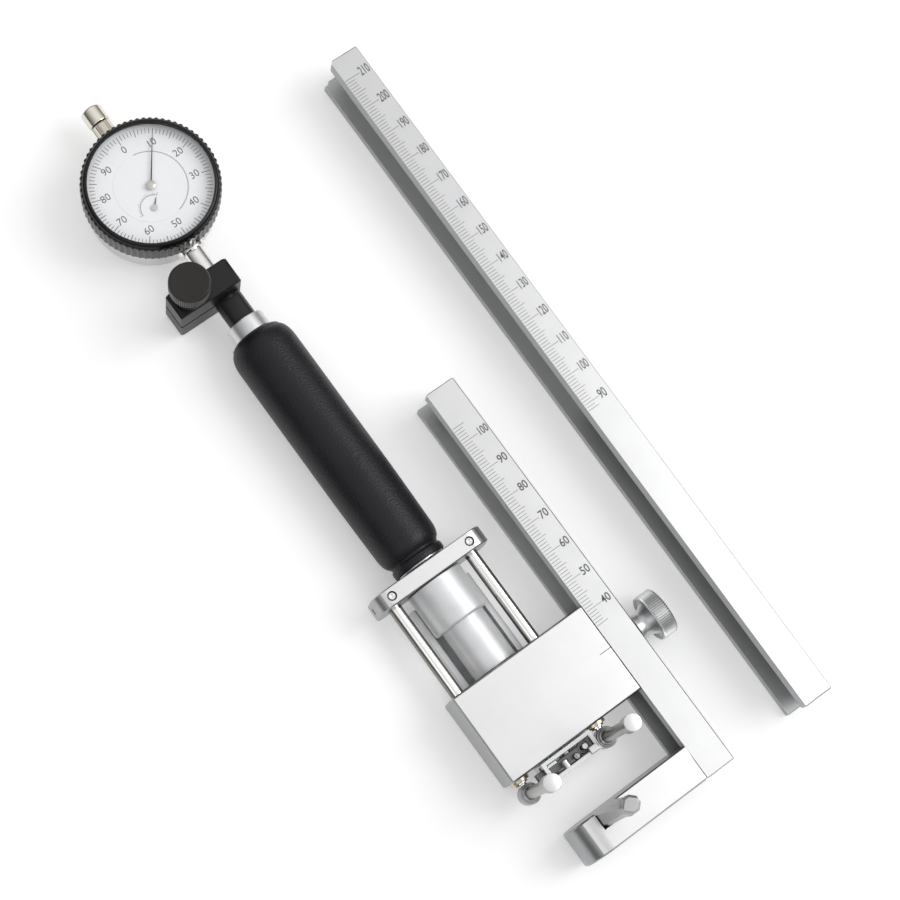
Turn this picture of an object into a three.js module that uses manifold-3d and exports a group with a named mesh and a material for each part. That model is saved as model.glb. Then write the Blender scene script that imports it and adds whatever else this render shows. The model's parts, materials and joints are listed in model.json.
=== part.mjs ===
// Dial gauge for wide bores and grooves: a block with two sliding columns, a handle that moves with
// them, a dial indicator clamped in its end, and a scale bar with a fixed arm. A longer scale bar
// belongs to it and lies beside it.
// Millimetres. The origin is under the middle of the block, on the surface that the gauge lies on.
// +X points to the scale bar, +Y along the handle to the dial, +Z up.

import * as THREE from 'three';
import { mergeVertices } from 'three/addons/utils/BufferGeometryUtils.js';
import Module from 'manifold-3d';

const wasm = await Module();
wasm.setup();

// Fits that the whole gauge shares
const gap = 0.3;              // between neighbours that touch on the real gauge
const overrun = 2;            // how far a cutter runs past the face that it opens
const weldDistance = 1e-4;
const travel = 3;             // how far the columns and the handle slide
const hexShare = 0.8;         // a hexagon socket's radius against its screw's

// Block and handle axis
const block = {
  left: 17.2, right: 28.5, halfLength: 14.6, height: 19.5, chamfer: 0.5,
  reliefHeight: 3.6, reliefDepth: 1.6,
};
const axisHeight = 10.2;
const column = { spread: 13.7, radius: 2, spigotRadius: 1.2, spigotLength: 2.9 };
const bush = { radius: 3, flangeOut: 1.2, length: 9, chamfer: 0.4 };

// Telescoping middle
const post = { radius: 7, boreRadius: 5, edge: 0.6 };
const sleeve = { radius: 9, foot: 31, edge: 1.6, roundInset: 0.5 };
const cradle = { halfWidth: 10.6, height: 7 };
const rod = { radius: 1.4, top: 144, seatDepth: 8, edge: 0.45 };
const coilSpring = { wire: 0.55, radius: 3.6, turns: 6 };
const coilSteps = 8;
const coilSides = 5;

// Top plate and handle
const plate = {
  halfWidth: 19.2, front: 45.4, depth: 5.2, bottom: 1, top: 19.3, corner: 5,
  screwRadius: 1.15, socketRadius: 0.6, socketDepth: 1.2, endHoleRadius: 1.1, endHoleDepth: 3,
};
const tube = { radius: 5.4, bore: 4, top: 137 };
const gripRing = { radius: 8, length: 1.6 };
const grip = {
  foot: 52.8, top: 134, radius: 10, lipRadius: 8.8, lipLength: 1.5, grooveRadius: 7.6,
  grooveLength: 1.1, swell: 4, swellInset: 1.2, shoulder: 7, roundSteps: 4,
  neckRadius: 6.9, notchRadius: 1, notchBack: 9,
  notchDepth: 1.6,
};
const collar = { radius: 6, length: 5, edge: 0.5 };
const neck = { radius: 4.4, flat: 3.7, bore: 2.4, spigotRadius: 3.7, spigotLength: 9, flange: 1.2 };

// Clamp for the indicator's stem
const clamp = {
  left: 16, right: 5, front: 148, depth: 8.4, halfHeight: 9.4, slot: 1, chamfer: 1,
  screwX: 10.5, screwRadius: 1.9, washerRadius: 4, washer: 1.1, neckRadius: 3.4, neckLength: 7.4,
  headRadius: 6.1, headLength: 6.4, knurls: 18, knurl: 0.22,
};

// Indicator, in its own frame: the origin is on the stem's axis, below the centre of the dial
const indicator = { y: 186.5 };
const stem = { radius: 3.2, shoulder: 4.4, shoulderLength: 2.4 };
const caseShell = { radius: 19.4, wall: 1.8, back: -8.6, front: 5.7, ledge: 2.4, edge: 1.2 };
const backCover = { inset: 0.8, thickness: 1.2, edge: 0.4, screwInset: 2, screwRadius: 1.1,
  screws: 3 };
const bezel = {
  overhang: 1.2, lipReach: 1, bottom: 5, front: 11.3, lip: 0.8,
  scallops: 36, scallop: 0.28, edge: 0.7,
};
const crystal = { inset: 0.2, thickness: 0.9, crown: 0.3 };
const dialPlate = { inset: 1.2, ringWidth: 7.2, thickness: 0.5, level: 7 };
const hub = { radius: 1.35, thickness: 0.6, pointerThickness: 0.2, pointerInset: 2.6,
  pointerRoot: 0.42, pointerTip: 0.16, restTurn: -36 };
const counterHub = { radius: 1, thickness: 0.25, pointerLength: 3.2, pointerRoot: 0.3, pointerTip: 0.12,
  restTurn: -44 };
const cap = { radius: 3.4, collarRadius: 2.7, collarLength: 5, length: 7, bore: 2, edge: 0.6 };

// Movement: the rack on the plunger turns the counter shaft, which drives the centre shaft
const plunger = { radius: 1.5, reach: 0.6, headReach: 5.1, rackHalf: 5.2, rackDepth: 1.6,
  collarRadius: 2.1, collarLength: 1 };
const tip = { radius: 1.4, ball: 0.9 };
const train = {
  rackPitch: 0.5, rackPinionTeeth: 16, wheelTeeth: 48, centreTeeth: 6,
  counterShareX: -0.1705, counterShareY: -0.3409,
  toothShare: 0.34, addendumShare: 0.8, dedendumShare: 1.15, tipShare: 0.45,
  wheelBottom: 2.2, wheelThickness: 0.8, pinionReach: 0.25, shaftRadius: 0.4, rackPinionHalf: 1.3,
};
const movement = {
  plateInset: 1.2, plateBottom: -6, plateThickness: 1.2, bridgeBottom: 4, bridgeThickness: 1,
  bridgeHalfWidth: 6.6, bridgeInset: 2, pillarRadius: 1.2, pillarShareX: 0.2614,
  pillarShareY: 0.784, postRadius: 1, postInset: 2.4,
};
const hair = { inner: 0.9, outer: 3.2, turns: 3, thickness: 0.12, height: 0.35, steps: 9 };
const plungerCoil = { wire: 0.3, radius: 2.1, turns: 5 };

// Measuring pins and anvil
const pin = {
  y: -19.8, baseRadius: 3.1, baseHalf: 3.4, neckRadius: 1.75, headRadius: 2.65, headLength: 6.4,
  top: 51.5, edge: 0.4, taper: 3,
};
const anvil = {
  centreY: -37, width: 7, depth: 5.4, stemWidth: 5.4, stemDepth: 4.4, headWidth: 7.4,
  headDepth: 6.4, headLength: 6, top: 51.5, corner: 1.1, headCorner: 2.1, footDepth: 8,
  bevel: 1.4,
};

// Scale bars: an open channel with its web to the right
const bar = {
  width: 9.6, top: 19.5, web: 3, upper: 5, lower: 3, lip: 1.1, edge: 0.3, slot: 4.6,
};
const shortBar = { foot: -45.9, head: 89.7, slotFoot: -3, slotHead: 80 };
const longBar = { x: 64.6, foot: -46.6, head: 188.4, turn: -0.24, slotFoot: 58, slotHead: 182,
  corner: 2.2 };
const arm = { inner: -34.7, tip: 12.4, round: 8, chamfer: 0.4, tenon: 5.6, screwRadius: 1.5,
  screwHead: 2.6, screwHeadLength: 1.6, screwLength: 8, screwSpread: 2.9 };
const barClamp = {
  screwRadius: 1.9, reach: 8.5, washerRadius: 5, washer: 1.2, bossRadius: 4.2, bossFlare: 5.2,
  bossLength: 5, headRadius: 7.3, headLength: 5, knurls: 22, knurl: 0.2,
};

// Stop bracket with its lever, in front of the block
const bracket = {
  x: 0.8, halfWidth: 8.6, depth: 6.4, bottom: 6, top: 19.3, wall: 1.2, floor: 1.6, slot: 5,
  slotBottom: 12.4, slotTop: 16.8, screwRadius: 1, screwHead: 1.6, screwHeadLength: 1.4,
  screwZ: 10.1, screwX: [-3.5, 1.7], screwDepth: 5,
};
const lever = { pivotX: 5.8, pinRadius: 0.8, bottom: 13, thickness: 3, halfWidth: 1.15,
  bossRadius: 1.8, reach: 13.8, thumb: 2.2, thumbHalf: 1.6 };

const colours = {
  satin: [0xc9cbcd, 0.34, 0.9],
  chrome: [0xd9dbde, 0.12, 1],
  black: [0x17181a, 0.55, 0.3],
  blackened: [0x2a2b2e, 0.4, 0.7],
  grip: [0x121317, 0.75, 0],
  brass: [0xb99c5a, 0.3, 1],
  nickel: [0xb9b3a4, 0.28, 1],
  dial: [0xf2f3f4, 0.5, 0],
  glass: [0xe8eef2, 0.05, 0],
  steel: [0x9a9da1, 0.3, 1],
};

function cleaned(geometry) {
  const bare = geometry.clone();
  bare.deleteAttribute('normal');
  bare.deleteAttribute('uv');
  const merged = mergeVertices(bare, weldDistance);
  const index = merged.index.array;
  const kept = [];
  for (let i = 0; i < index.length; i += 3) {
    const [a, b, c] = [index[i], index[i + 1], index[i + 2]];
    if (a !== b && b !== c && c !== a) kept.push(a, b, c);
  }
  merged.setIndex(kept);
  if (signedVolume(merged) < 0) {
    for (let i = 0; i < kept.length; i += 3) [kept[i], kept[i + 1]] = [kept[i + 1], kept[i]];
    merged.setIndex(kept);
  }
  return merged;
}

function signedVolume(geometry) {
  const [a, b, c] = [new THREE.Vector3(), new THREE.Vector3(), new THREE.Vector3()];
  const position = geometry.attributes.position;
  const index = geometry.index.array;
  let total = 0;
  for (let i = 0; i < index.length; i += 3) {
    a.fromBufferAttribute(position, index[i]);
    b.fromBufferAttribute(position, index[i + 1]);
    c.fromBufferAttribute(position, index[i + 2]);
    total += a.dot(b.cross(c)) / 6;
  }
  return total;
}

function solidOf(geometry) {
  const closed = cleaned(geometry);
  return new wasm.Manifold(new wasm.Mesh({
    numProp: 3,
    vertProperties: new Float32Array(closed.attributes.position.array),
    triVerts: new Uint32Array(closed.index.array),
  }));
}

function geometryOf(solid) {
  const mesh = solid.getMesh();
  const geometry = new THREE.BufferGeometry();
  geometry.setAttribute('position', new THREE.Float32BufferAttribute(mesh.vertProperties, 3));
  geometry.setIndex(Array.from(mesh.triVerts));
  return geometry;
}

function cut(body, ...tools) {
  return geometryOf(tools.reduce((left, tool) => left.subtract(solidOf(tool)), solidOf(body)));
}

function join(body, ...others) {
  return geometryOf(others.reduce((sum, other) => sum.add(solidOf(other)), solidOf(body)));
}

// Turns a profile of [radius, place] pairs about the X, Y or Z axis
function turned(points, direction = 'y', sides = 24) {
  const geometry = new THREE.LatheGeometry(points.map(([r, a]) => new THREE.Vector2(r, a)), sides);
  if (direction === 'z') geometry.rotateX(Math.PI / 2);
  if (direction === 'x') geometry.rotateZ(-Math.PI / 2);
  return geometry;
}

function cylinder(radius, from, to, direction = 'y', sides = 18) {
  return turned([[0, from], [radius, from], [radius, to], [0, to]], direction, sides);
}

function ring(inner, outer, from, to, direction = 'y', sides = 24) {
  const profile = [[inner, from], [outer, from], [outer, to], [inner, to], [inner, from]];
  return turned(profile, direction, sides);
}

function box(x0, x1, y0, y1, z0, z1) {
  const geometry = new THREE.BoxGeometry(x1 - x0, y1 - y0, z1 - z0);
  return geometry.translate((x0 + x1) / 2, (y0 + y1) / 2, (z0 + z1) / 2);
}

function shapeOf(points) {
  return new THREE.Shape(points.map(([x, y]) => new THREE.Vector2(x, y)));
}

// Extrudes an outline drawn in X and Z along Y, with chamfered ends
function alongY(shape, from, to, chamfer = 0, curveSegments = 8) {
  const geometry = new THREE.ExtrudeGeometry(shape, {
    depth: to - from - 2 * chamfer,
    bevelEnabled: chamfer > 0,
    bevelThickness: chamfer,
    bevelSize: chamfer,
    bevelOffset: -chamfer,
    bevelSegments: 1,
    curveSegments,
  });
  return geometry.rotateX(Math.PI / 2).translate(0, to - chamfer, 0);
}

// Extrudes an outline drawn in X and Y along Z
function alongZ(shape, from, to, curveSegments = 8) {
  const geometry = new THREE.ExtrudeGeometry(shape, {
    depth: to - from, bevelEnabled: false, curveSegments,
  });
  return geometry.translate(0, 0, from);
}

function movedBy(geometry, x, y, z) {
  return geometry.translate(x, y, z);
}

// A turned knob along +Z whose rim between two places carries knurls
function knurled(points, direction, rimRadius, knurls, depth) {
  const sides = knurls * 2;
  const geometry = turned(points, 'y', sides);
  const position = geometry.attributes.position;
  for (let i = 0; i < position.count; i += 1) {
    const [x, z] = [position.getX(i), position.getZ(i)];
    const radius = Math.hypot(x, z);
    const step = Math.round(Math.atan2(x, z) / (2 * Math.PI) * sides);
    if (radius > rimRadius - depth && Math.abs(step % 2) === 1) {
      position.setX(i, x * (radius - depth) / radius);
      position.setZ(i, z * (radius - depth) / radius);
    }
  }
  if (direction === 'z') geometry.rotateX(Math.PI / 2);
  if (direction === 'x') geometry.rotateZ(-Math.PI / 2);
  return geometry;
}

// Joins rings of eight corners, one for each level, into a tapered column
function tapered(levels) {
  const points = [];
  const index = [];
  const count = 8;
  for (const { z, width, depth, corner } of levels) {
    const [x, y] = [width / 2, depth / 2];
    points.push(
      [x, y - corner, z], [x - corner, y, z], [corner - x, y, z], [-x, y - corner, z],
      [-x, corner - y, z], [corner - x, -y, z], [x - corner, -y, z], [x, corner - y, z],
    );
  }
  for (let level = 0; level + 1 < levels.length; level += 1) {
    for (let i = 0; i < count; i += 1) {
      const [a, b] = [level * count + i, level * count + (i + 1) % count];
      index.push(a, b, b + count, a, b + count, a + count);
    }
  }
  const last = (levels.length - 1) * count;
  for (let i = 1; i + 1 < count; i += 1) {
    index.push(0, i + 1, i, last, last + i, last + i + 1);
  }
  const geometry = new THREE.BufferGeometry();
  geometry.setAttribute('position', new THREE.Float32BufferAttribute(points.flat(), 3));
  geometry.setIndex(index);
  return geometry;
}

// Sweeps a small polygon along a route of points that never closes
function swept(route, sides, radiusOf) {
  const points = [];
  const index = [];
  const up = new THREE.Vector3(0, 1, 0);
  route.forEach((here, i) => {
    const before = route[Math.max(i - 1, 0)];
    const after = route[Math.min(i + 1, route.length - 1)];
    const along = after.clone().sub(before).normalize();
    const side = along.clone().cross(up).normalize();
    const top = side.clone().cross(along);
    for (let k = 0; k < sides; k += 1) {
      const turn = (k + 0.5) / sides * 2 * Math.PI;
      const [a, b] = radiusOf(turn);
      const point = here.clone().addScaledVector(side, a).addScaledVector(top, b);
      points.push(point.x, point.y, point.z);
    }
  });
  for (let i = 0; i + 1 < route.length; i += 1) {
    for (let k = 0; k < sides; k += 1) {
      const [a, b] = [i * sides + k, i * sides + (k + 1) % sides];
      index.push(a, b, b + sides, a, b + sides, a + sides);
    }
  }
  const last = (route.length - 1) * sides;
  for (let k = 1; k + 1 < sides; k += 1) index.push(0, k + 1, k, last, last + k, last + k + 1);
  const geometry = new THREE.BufferGeometry();
  geometry.setAttribute('position', new THREE.Float32BufferAttribute(points, 3));
  geometry.setIndex(index);
  return geometry;
}

// A round wire wound about the Y axis
function coil(radius, wire, turns, from, to) {
  const steps = turns * coilSteps;
  const route = [];
  for (let i = 0; i <= steps; i += 1) {
    const turn = i / coilSteps * 2 * Math.PI;
    route.push(new THREE.Vector3(
      radius * Math.cos(turn),
      from + wire + (to - from - 2 * wire) * i / steps,
      radius * Math.sin(turn),
    ));
  }
  return swept(route, coilSides, (turn) => [wire * Math.cos(turn), wire * Math.sin(turn)]);
}

// The outline of a wheel with straight-sided teeth, one tooth centred at the given angle
function toothed(teeth, module, start) {
  const pitchRadius = teeth * module / 2;
  const outer = pitchRadius + train.addendumShare * module;
  const root = pitchRadius - train.dedendumShare * module;
  const step = 2 * Math.PI / teeth;
  const foot = step * train.toothShare;
  const top = foot * train.tipShare;
  const points = [];
  for (let i = 0; i < teeth; i += 1) {
    const middle = start + i * step;
    for (const [radius, turn] of [[root, -foot], [outer, -top], [outer, top], [root, foot]]) {
      const angle = middle + turn;
      points.push([radius * Math.cos(angle), radius * Math.sin(angle)]);
    }
  }
  return shapeOf(points);
}

const gauge = new THREE.Group();

function material(colour) {
  const [color, roughness, metalness] = colours[colour];
  return new THREE.MeshStandardMaterial({ color, roughness, metalness });
}

function add(parent, name, geometry, colour) {
  const mesh = new THREE.Mesh(cleaned(geometry), material(colour));
  mesh.name = name;
  parent.add(mesh);
  return mesh;
}

const barLeft = block.right + gap;
const channelMiddle = (bar.lower + bar.top - bar.upper) / 2;
const plateBack = plate.front + plate.depth;
const telescopeEnd = plate.front - travel - gap * 2;
const caseInner = caseShell.radius - caseShell.wall;
const bezelRadius = caseShell.radius + bezel.overhang;
const lipInner = caseShell.radius - bezel.lipReach;
const bridgeHalfLength = caseInner - movement.bridgeInset;
const counterX = train.counterShareX * caseInner;
const counterY = train.counterShareY * caseInner;
const crystalRadius = caseShell.radius - crystal.inset;
const dialRadius = caseShell.radius - dialPlate.inset;
const dialSeam = dialRadius - dialPlate.ringWidth;
const dialTop = dialPlate.level + dialPlate.thickness;

// The block slides on its columns, carries the post and clasps the scale bar with its tongue
function carriageBlock() {
  const c = block.chamfer;
  const tongueTop = bar.top - bar.upper - gap;
  const tongueRight = barLeft + bar.width - bar.web - gap;
  const outline = shapeOf([
    [-block.left + c, 0], [block.right - block.reliefDepth, 0],
    [block.right - block.reliefDepth, block.reliefHeight], [block.right, block.reliefHeight],
    [tongueRight, block.reliefHeight], [tongueRight, tongueTop], [block.right, tongueTop],
    [block.right, block.height], [-block.left + c, block.height], [-block.left, block.height - c],
    [-block.left, c],
  ]);
  const tools = [];
  for (const side of [-1, 1]) {
    const bore = cylinder(bush.radius + gap, -block.halfLength - overrun,
      block.halfLength + overrun);
    tools.push(movedBy(bore, side * column.spread, 0, axisHeight));
  }
  const socket = cylinder(rod.radius + gap, block.halfLength - rod.seatDepth,
    block.halfLength + overrun);
  tools.push(movedBy(socket, 0, 0, axisHeight));
  const screwBore = cylinder(barClamp.screwRadius + gap, block.right - barClamp.reach - gap,
    tongueRight + overrun, 'x');
  tools.push(movedBy(screwBore, 0, 0, channelMiddle));
  for (const x of bracket.screwX) {
    const hole = cylinder(bracket.screwRadius + gap, -block.halfLength - overrun,
      -block.halfLength + bracket.screwDepth + gap, 'y', 10);
    tools.push(movedBy(hole, x, 0, bracket.screwZ));
  }
  return cut(alongY(outline, -block.halfLength, block.halfLength, c), ...tools);
}

function guideBush(side, front) {
  const start = block.halfLength - bush.length;
  const end = block.halfLength + (front ? bush.flangeOut : 0);
  const inner = column.radius + gap;
  const profile = [
    [inner, start], [bush.radius, start], [bush.radius, end - bush.chamfer],
    [bush.radius - bush.chamfer, end], [inner, end], [inner, start],
  ].map(([r, a]) => [r, front ? -a : a]);
  return movedBy(turned(profile, 'y', 14), side * column.spread, 0, axisHeight);
}

function springPost() {
  const start = block.halfLength + gap;
  const end = telescopeEnd;
  const { radius, boreRadius, edge } = post;
  const profile = [
    [rod.radius + gap, start], [radius, start], [radius, end - edge], [radius - edge, end],
    [boreRadius, end], [boreRadius, start + edge], [rod.radius + gap, start + edge],
    [rod.radius + gap, start],
  ];
  return turned(profile, 'y', 28);
}

// A slab under the sleeve, hollowed out where the sleeve runs
function sleeveCradle() {
  const start = block.halfLength + gap;
  const trough = sleeve.radius + gap;
  const angle = Math.asin((axisHeight - cradle.height) / trough);
  const shape = new THREE.Shape();
  const { halfWidth, height } = cradle;
  shape.moveTo(-halfWidth, 0);
  shape.lineTo(halfWidth, 0);
  shape.lineTo(halfWidth, height);
  shape.lineTo(trough * Math.cos(angle), height);
  shape.absarc(0, axisHeight, trough, -angle, angle - Math.PI, true);
  shape.lineTo(-halfWidth, height);
  shape.closePath();
  return alongY(shape, start, telescopeEnd, 0, 12);
}

function pushRod() {
  const start = block.halfLength - rod.seatDepth + gap;
  return turned([
    [0, start], [rod.radius, start], [rod.radius, rod.top - rod.edge],
    [rod.radius - rod.edge, rod.top], [0, rod.top],
  ], 'y', 14);
}

function columnRod(side) {
  const shoulder = pin.y + pin.baseRadius + gap;
  const end = plateBack - gap;
  const r = column.radius;
  const profile = [
    [0, shoulder - column.spigotLength], [column.spigotRadius, shoulder - column.spigotLength],
    [column.spigotRadius, shoulder], [r, shoulder], [r, end], [0, end],
  ];
  return movedBy(turned(profile, 'y', 14), side * column.spread, 0, axisHeight);
}

function measuringPin(side) {
  const { baseRadius, neckRadius, headRadius, edge, taper, top, headLength } = pin;
  const low = axisHeight - pin.baseHalf;
  const high = axisHeight + pin.baseHalf;
  const profile = [
    [0, low], [baseRadius - edge, low], [baseRadius, low + edge], [baseRadius, high - edge],
    [baseRadius - edge, high], [neckRadius, high + taper / 2],
    [neckRadius, top - headLength - taper], [headRadius, top - headLength],
    [headRadius, top - edge], [headRadius - edge, top], [0, top],
  ];
  const socket = cylinder(column.spigotRadius + gap, gap - column.spigotLength,
    pin.baseRadius + overrun, 'y', 10);
  const body = cut(turned(profile, 'z', 20), movedBy(socket, 0, pin.baseRadius - gap, axisHeight));
  return movedBy(body, side * column.spread, pin.y, 0);
}

function topPlate() {
  const { halfWidth: w, bottom, top, corner: r } = plate;
  const shape = new THREE.Shape();
  shape.moveTo(r - w, bottom);
  shape.lineTo(w - r, bottom);
  shape.absarc(w - r, bottom + r, r, -Math.PI / 2, 0, false);
  shape.lineTo(w, top - r);
  shape.absarc(w - r, top - r, r, 0, Math.PI / 2, false);
  shape.lineTo(r - w, top);
  shape.absarc(r - w, top - r, r, Math.PI / 2, Math.PI, false);
  shape.lineTo(-w, bottom + r);
  shape.absarc(r - w, bottom + r, r, Math.PI, Math.PI * 1.5, false);
  const middle = plate.front + plate.depth / 2;
  const tools = [movedBy(
    cylinder(tube.radius + gap, plate.front + gap * 2, plateBack + overrun, 'y', 14),
    0, 0, axisHeight,
  ), movedBy(
    cylinder(rod.radius + gap * 2, plate.front - overrun, plateBack, 'y', 14), 0, 0, axisHeight,
  )];
  for (const side of [-1, 1]) {
    const x = side * column.spread;
    tools.push(movedBy(
      cylinder(column.radius + gap, plate.front - overrun, plateBack + overrun), x, 0, axisHeight,
    ));
    tools.push(movedBy(
      cylinder(plate.screwRadius + gap, axisHeight, top + overrun, 'z', 10), x, middle, 0,
    ));
    const hole = cylinder(plate.endHoleRadius, w - plate.endHoleDepth, w + overrun, 'x', 10);
    if (side < 0) hole.rotateZ(Math.PI);
    tools.push(movedBy(hole, 0, middle, axisHeight));
  }
  return cut(alongY(shape, plate.front, plateBack, gap, 4), ...tools);
}

function columnSetScrew(side) {
  const middle = plate.front + plate.depth / 2;
  const low = axisHeight + column.radius + gap;
  const high = plate.top - gap;
  const socket = cylinder(plate.socketRadius, high - plate.socketDepth, high + overrun, 'z', 6);
  const screw = cut(cylinder(plate.screwRadius, low, high, 'z', 10), socket);
  return movedBy(screw, side * column.spread, middle, 0);
}

function outerSleeve() {
  const { radius, foot, edge, roundInset } = sleeve;
  const end = plate.front - gap;
  const inner = post.radius + gap;
  return turned([
    [inner, foot], [radius - edge, foot], [radius - roundInset, foot + roundInset],
    [radius, foot + edge], [radius, end], [inner, end], [inner, foot],
  ], 'y', 28);
}

function handleTube() {
  return ring(tube.bore, tube.radius, plate.front + gap * 3, tube.top, 'y', 14);
}

function gripBody() {
  const { foot, top, radius, lipRadius, lipLength, grooveRadius, grooveLength } = grip;
  const inner = tube.radius + gap;
  const body = foot + lipLength + grooveLength;
  const points = [[inner, foot], [lipRadius - gap, foot], [lipRadius, foot + gap],
    [lipRadius, foot + lipLength], [grooveRadius, foot + lipLength + gap], [grooveRadius, body]];
  for (let i = 0; i <= grip.roundSteps; i += 1) {
    const turn = i / grip.roundSteps * Math.PI / 2;
    points.push([radius - grip.swellInset * (1 - Math.sin(turn)),
      body + grip.swell * (1 - Math.cos(turn))]);
  }
  for (let i = 0; i <= grip.roundSteps; i += 1) {
    const turn = i / grip.roundSteps * Math.PI / 2;
    const reach = radius - grip.neckRadius;
    points.push([grip.neckRadius + reach * Math.cos(turn),
      top - grip.shoulder * (1 - Math.sin(turn))]);
  }
  points.push([inner, top], [inner, foot]);
  const notch = cylinder(grip.notchRadius, radius - grip.notchDepth, radius + overrun, 'x', 10);
  notch.rotateY(Math.PI);
  return cut(turned(points, 'y', 28), movedBy(notch, 0, top - grip.notchBack, 0));
}

function gripFootRing() {
  const start = plateBack + gap;
  return ring(tube.radius + gap, gripRing.radius, start, start + gripRing.length, 'y', 28);
}

function gripCollar() {
  const start = grip.top + gap;
  const end = start + collar.length;
  const inner = tube.radius + gap;
  const { radius, edge } = collar;
  return turned([
    [inner, start], [radius, start], [radius, end - edge], [radius - edge, end],
    [neck.radius + gap, end], [neck.radius + gap, tube.top + gap], [inner, tube.top + gap],
    [inner, start],
  ], 'y', 28);
}

// The neck plugs into the tube and has two milled flats under the clamp
function neckAdapter() {
  const end = clamp.front - gap;
  const shoulder = tube.top + gap;
  const flatStart = shoulder + neck.flange + gap;
  const profile = [
    [neck.bore, tube.top - neck.spigotLength], [neck.spigotRadius, tube.top - neck.spigotLength],
    [neck.spigotRadius, shoulder], [neck.radius, shoulder], [neck.radius, end],
    [neck.bore, end], [neck.bore, tube.top - neck.spigotLength],
  ];
  const collarTop = grip.top + gap + collar.length;
  const start = Math.max(flatStart, collarTop);
  const flats = [-1, 1].map((side) => {
    const [near, far] = [side * neck.flat, side * (neck.radius + overrun)];
    return box(-neck.radius - overrun, neck.radius + overrun, start, end - neck.flange,
      Math.min(near, far), Math.max(near, far));
  });
  return cut(turned(profile, 'y', 14), ...flats);
}

function clampBody() {
  const { left, right, halfHeight, chamfer: c } = clamp;
  const outline = shapeOf([
    [-left + c, -halfHeight], [right - c, -halfHeight], [right, -halfHeight + c],
    [right, halfHeight - c], [right - c, halfHeight], [-left + c, halfHeight],
    [-left, halfHeight - c], [-left, -halfHeight + c],
  ]);
  const end = clamp.front + clamp.depth;
  const middle = clamp.front + clamp.depth / 2;
  const stemBore = cylinder(stem.radius + gap, clamp.front + gap, end + overrun, 'y', 14);
  const tipBore = cylinder(neck.bore, clamp.front - overrun, end, 'y', 14);
  const slot = box(-left - overrun, 0, clamp.front - overrun, end + overrun,
    -clamp.slot / 2, clamp.slot / 2);
  const screwBore = cylinder(clamp.screwRadius + gap, clamp.washer * 2 - halfHeight,
    halfHeight + overrun, 'z', 20);
  return cut(alongY(outline, clamp.front, end, gap), stemBore, tipBore, slot,
    movedBy(screwBore, -clamp.screwX, middle, 0));
}

// A thumb screw along +Z: threaded shank, neck and knurled head, seated at zero
function thumbScrew(direction, shank, size) {
  const { screwRadius, neckRadius, neckFlare, neckLength, headRadius, headLength, knurls } = size;
  const edge = gap * 2;
  const end = neckLength + headLength;
  return knurled([
    [0, -shank], [screwRadius, -shank], [screwRadius, 0], [neckRadius, 0],
    [neckFlare, neckLength], [headRadius - edge, neckLength], [headRadius, neckLength + edge],
    [headRadius, end - edge], [headRadius - edge, end], [0, end],
  ], direction, headRadius, knurls, size.knurl);
}

function clampKnob() {
  return thumbScrew('z', clamp.halfHeight * 2 - clamp.washer - gap, {
    ...clamp, neckFlare: clamp.neckRadius,
  });
}

function barClampKnob() {
  const shank = bar.width + gap * 3 + barClamp.washer + barClamp.reach - gap;
  return thumbScrew('x', shank, {
    ...barClamp, neckRadius: barClamp.bossRadius, neckFlare: barClamp.bossFlare,
    neckLength: barClamp.bossLength,
  });
}

// A channel in X and Z with its web on the right and a lower flange that reaches further left
function channelOutline() {
  const { width, top, web, upper, lower, lip, edge } = bar;
  return shapeOf([
    [-lip, 0], [width - edge, 0], [width, edge], [width, top - edge], [width - edge, top],
    [0, top], [0, top - upper], [width - web, top - upper], [width - web, lower], [-lip, lower],
  ]);
}

function channelBar(foot, head, slotFoot, slotHead, ...tools) {
  const half = bar.slot / 2;
  const slot = [slotFoot + half, slotHead - half].map((y) => movedBy(
    cylinder(half, bar.width - bar.web - overrun, bar.width + overrun, 'x', 10),
    0, y, channelMiddle,
  ));
  const middle = box(bar.width - bar.web - overrun, bar.width + overrun, slotFoot + half,
    slotHead - half, channelMiddle - half, channelMiddle + half);
  return cut(alongY(channelOutline(), foot, head, gap), ...slot, middle, ...tools);
}

function armScrewPlaces() {
  const middle = (shortBar.foot + arm.inner) / 2;
  return [-1, 1].map((side) => middle + side * arm.screwSpread);
}

function scaleBar() {
  const tools = armScrewPlaces().flatMap((y) => [
    movedBy(cylinder(arm.screwRadius + gap, -overrun, bar.width + overrun, 'x', 10),
      0, y, channelMiddle),
    movedBy(cylinder(arm.screwHead + gap, bar.width - arm.screwHeadLength, bar.width + overrun,
      'x', 10), 0, y, channelMiddle),
  ]);
  return channelBar(shortBar.foot, shortBar.head, shortBar.slotFoot, shortBar.slotHead, ...tools);
}

function armScrew(y) {
  const end = bar.width - gap;
  const head = end - arm.screwHeadLength + gap * 2;
  const start = end - arm.screwLength;
  const screw = turned([
    [0, start], [arm.screwRadius, start], [arm.screwRadius, head], [arm.screwHead, head],
    [arm.screwHead, end], [0, end],
  ], 'x', 10);
  const socket = cylinder(arm.screwRadius * hexShare, end - gap * 3, end + overrun, 'x', 6);
  return movedBy(cut(screw, socket), 0, y, channelMiddle);
}

// The long bar has one corner cut off at its head, and the same two screw holes at its foot
function longScaleBar() {
  const { foot, head, corner } = longBar;
  const wedge = alongZ(shapeOf([
    [-bar.lip - overrun, head - corner], [0, head - corner], [corner, head],
    [corner, head + overrun], [-bar.lip - overrun, head + overrun],
  ]), -overrun, bar.top + overrun);
  const holes = armScrewPlaces().map((y) => movedBy(
    cylinder(arm.screwRadius + gap, -overrun, bar.width + overrun, 'x', 10),
    0, y - shortBar.foot + foot, channelMiddle,
  ));
  return channelBar(foot, head, longBar.slotFoot, longBar.slotHead, wedge, ...holes);
}

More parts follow.
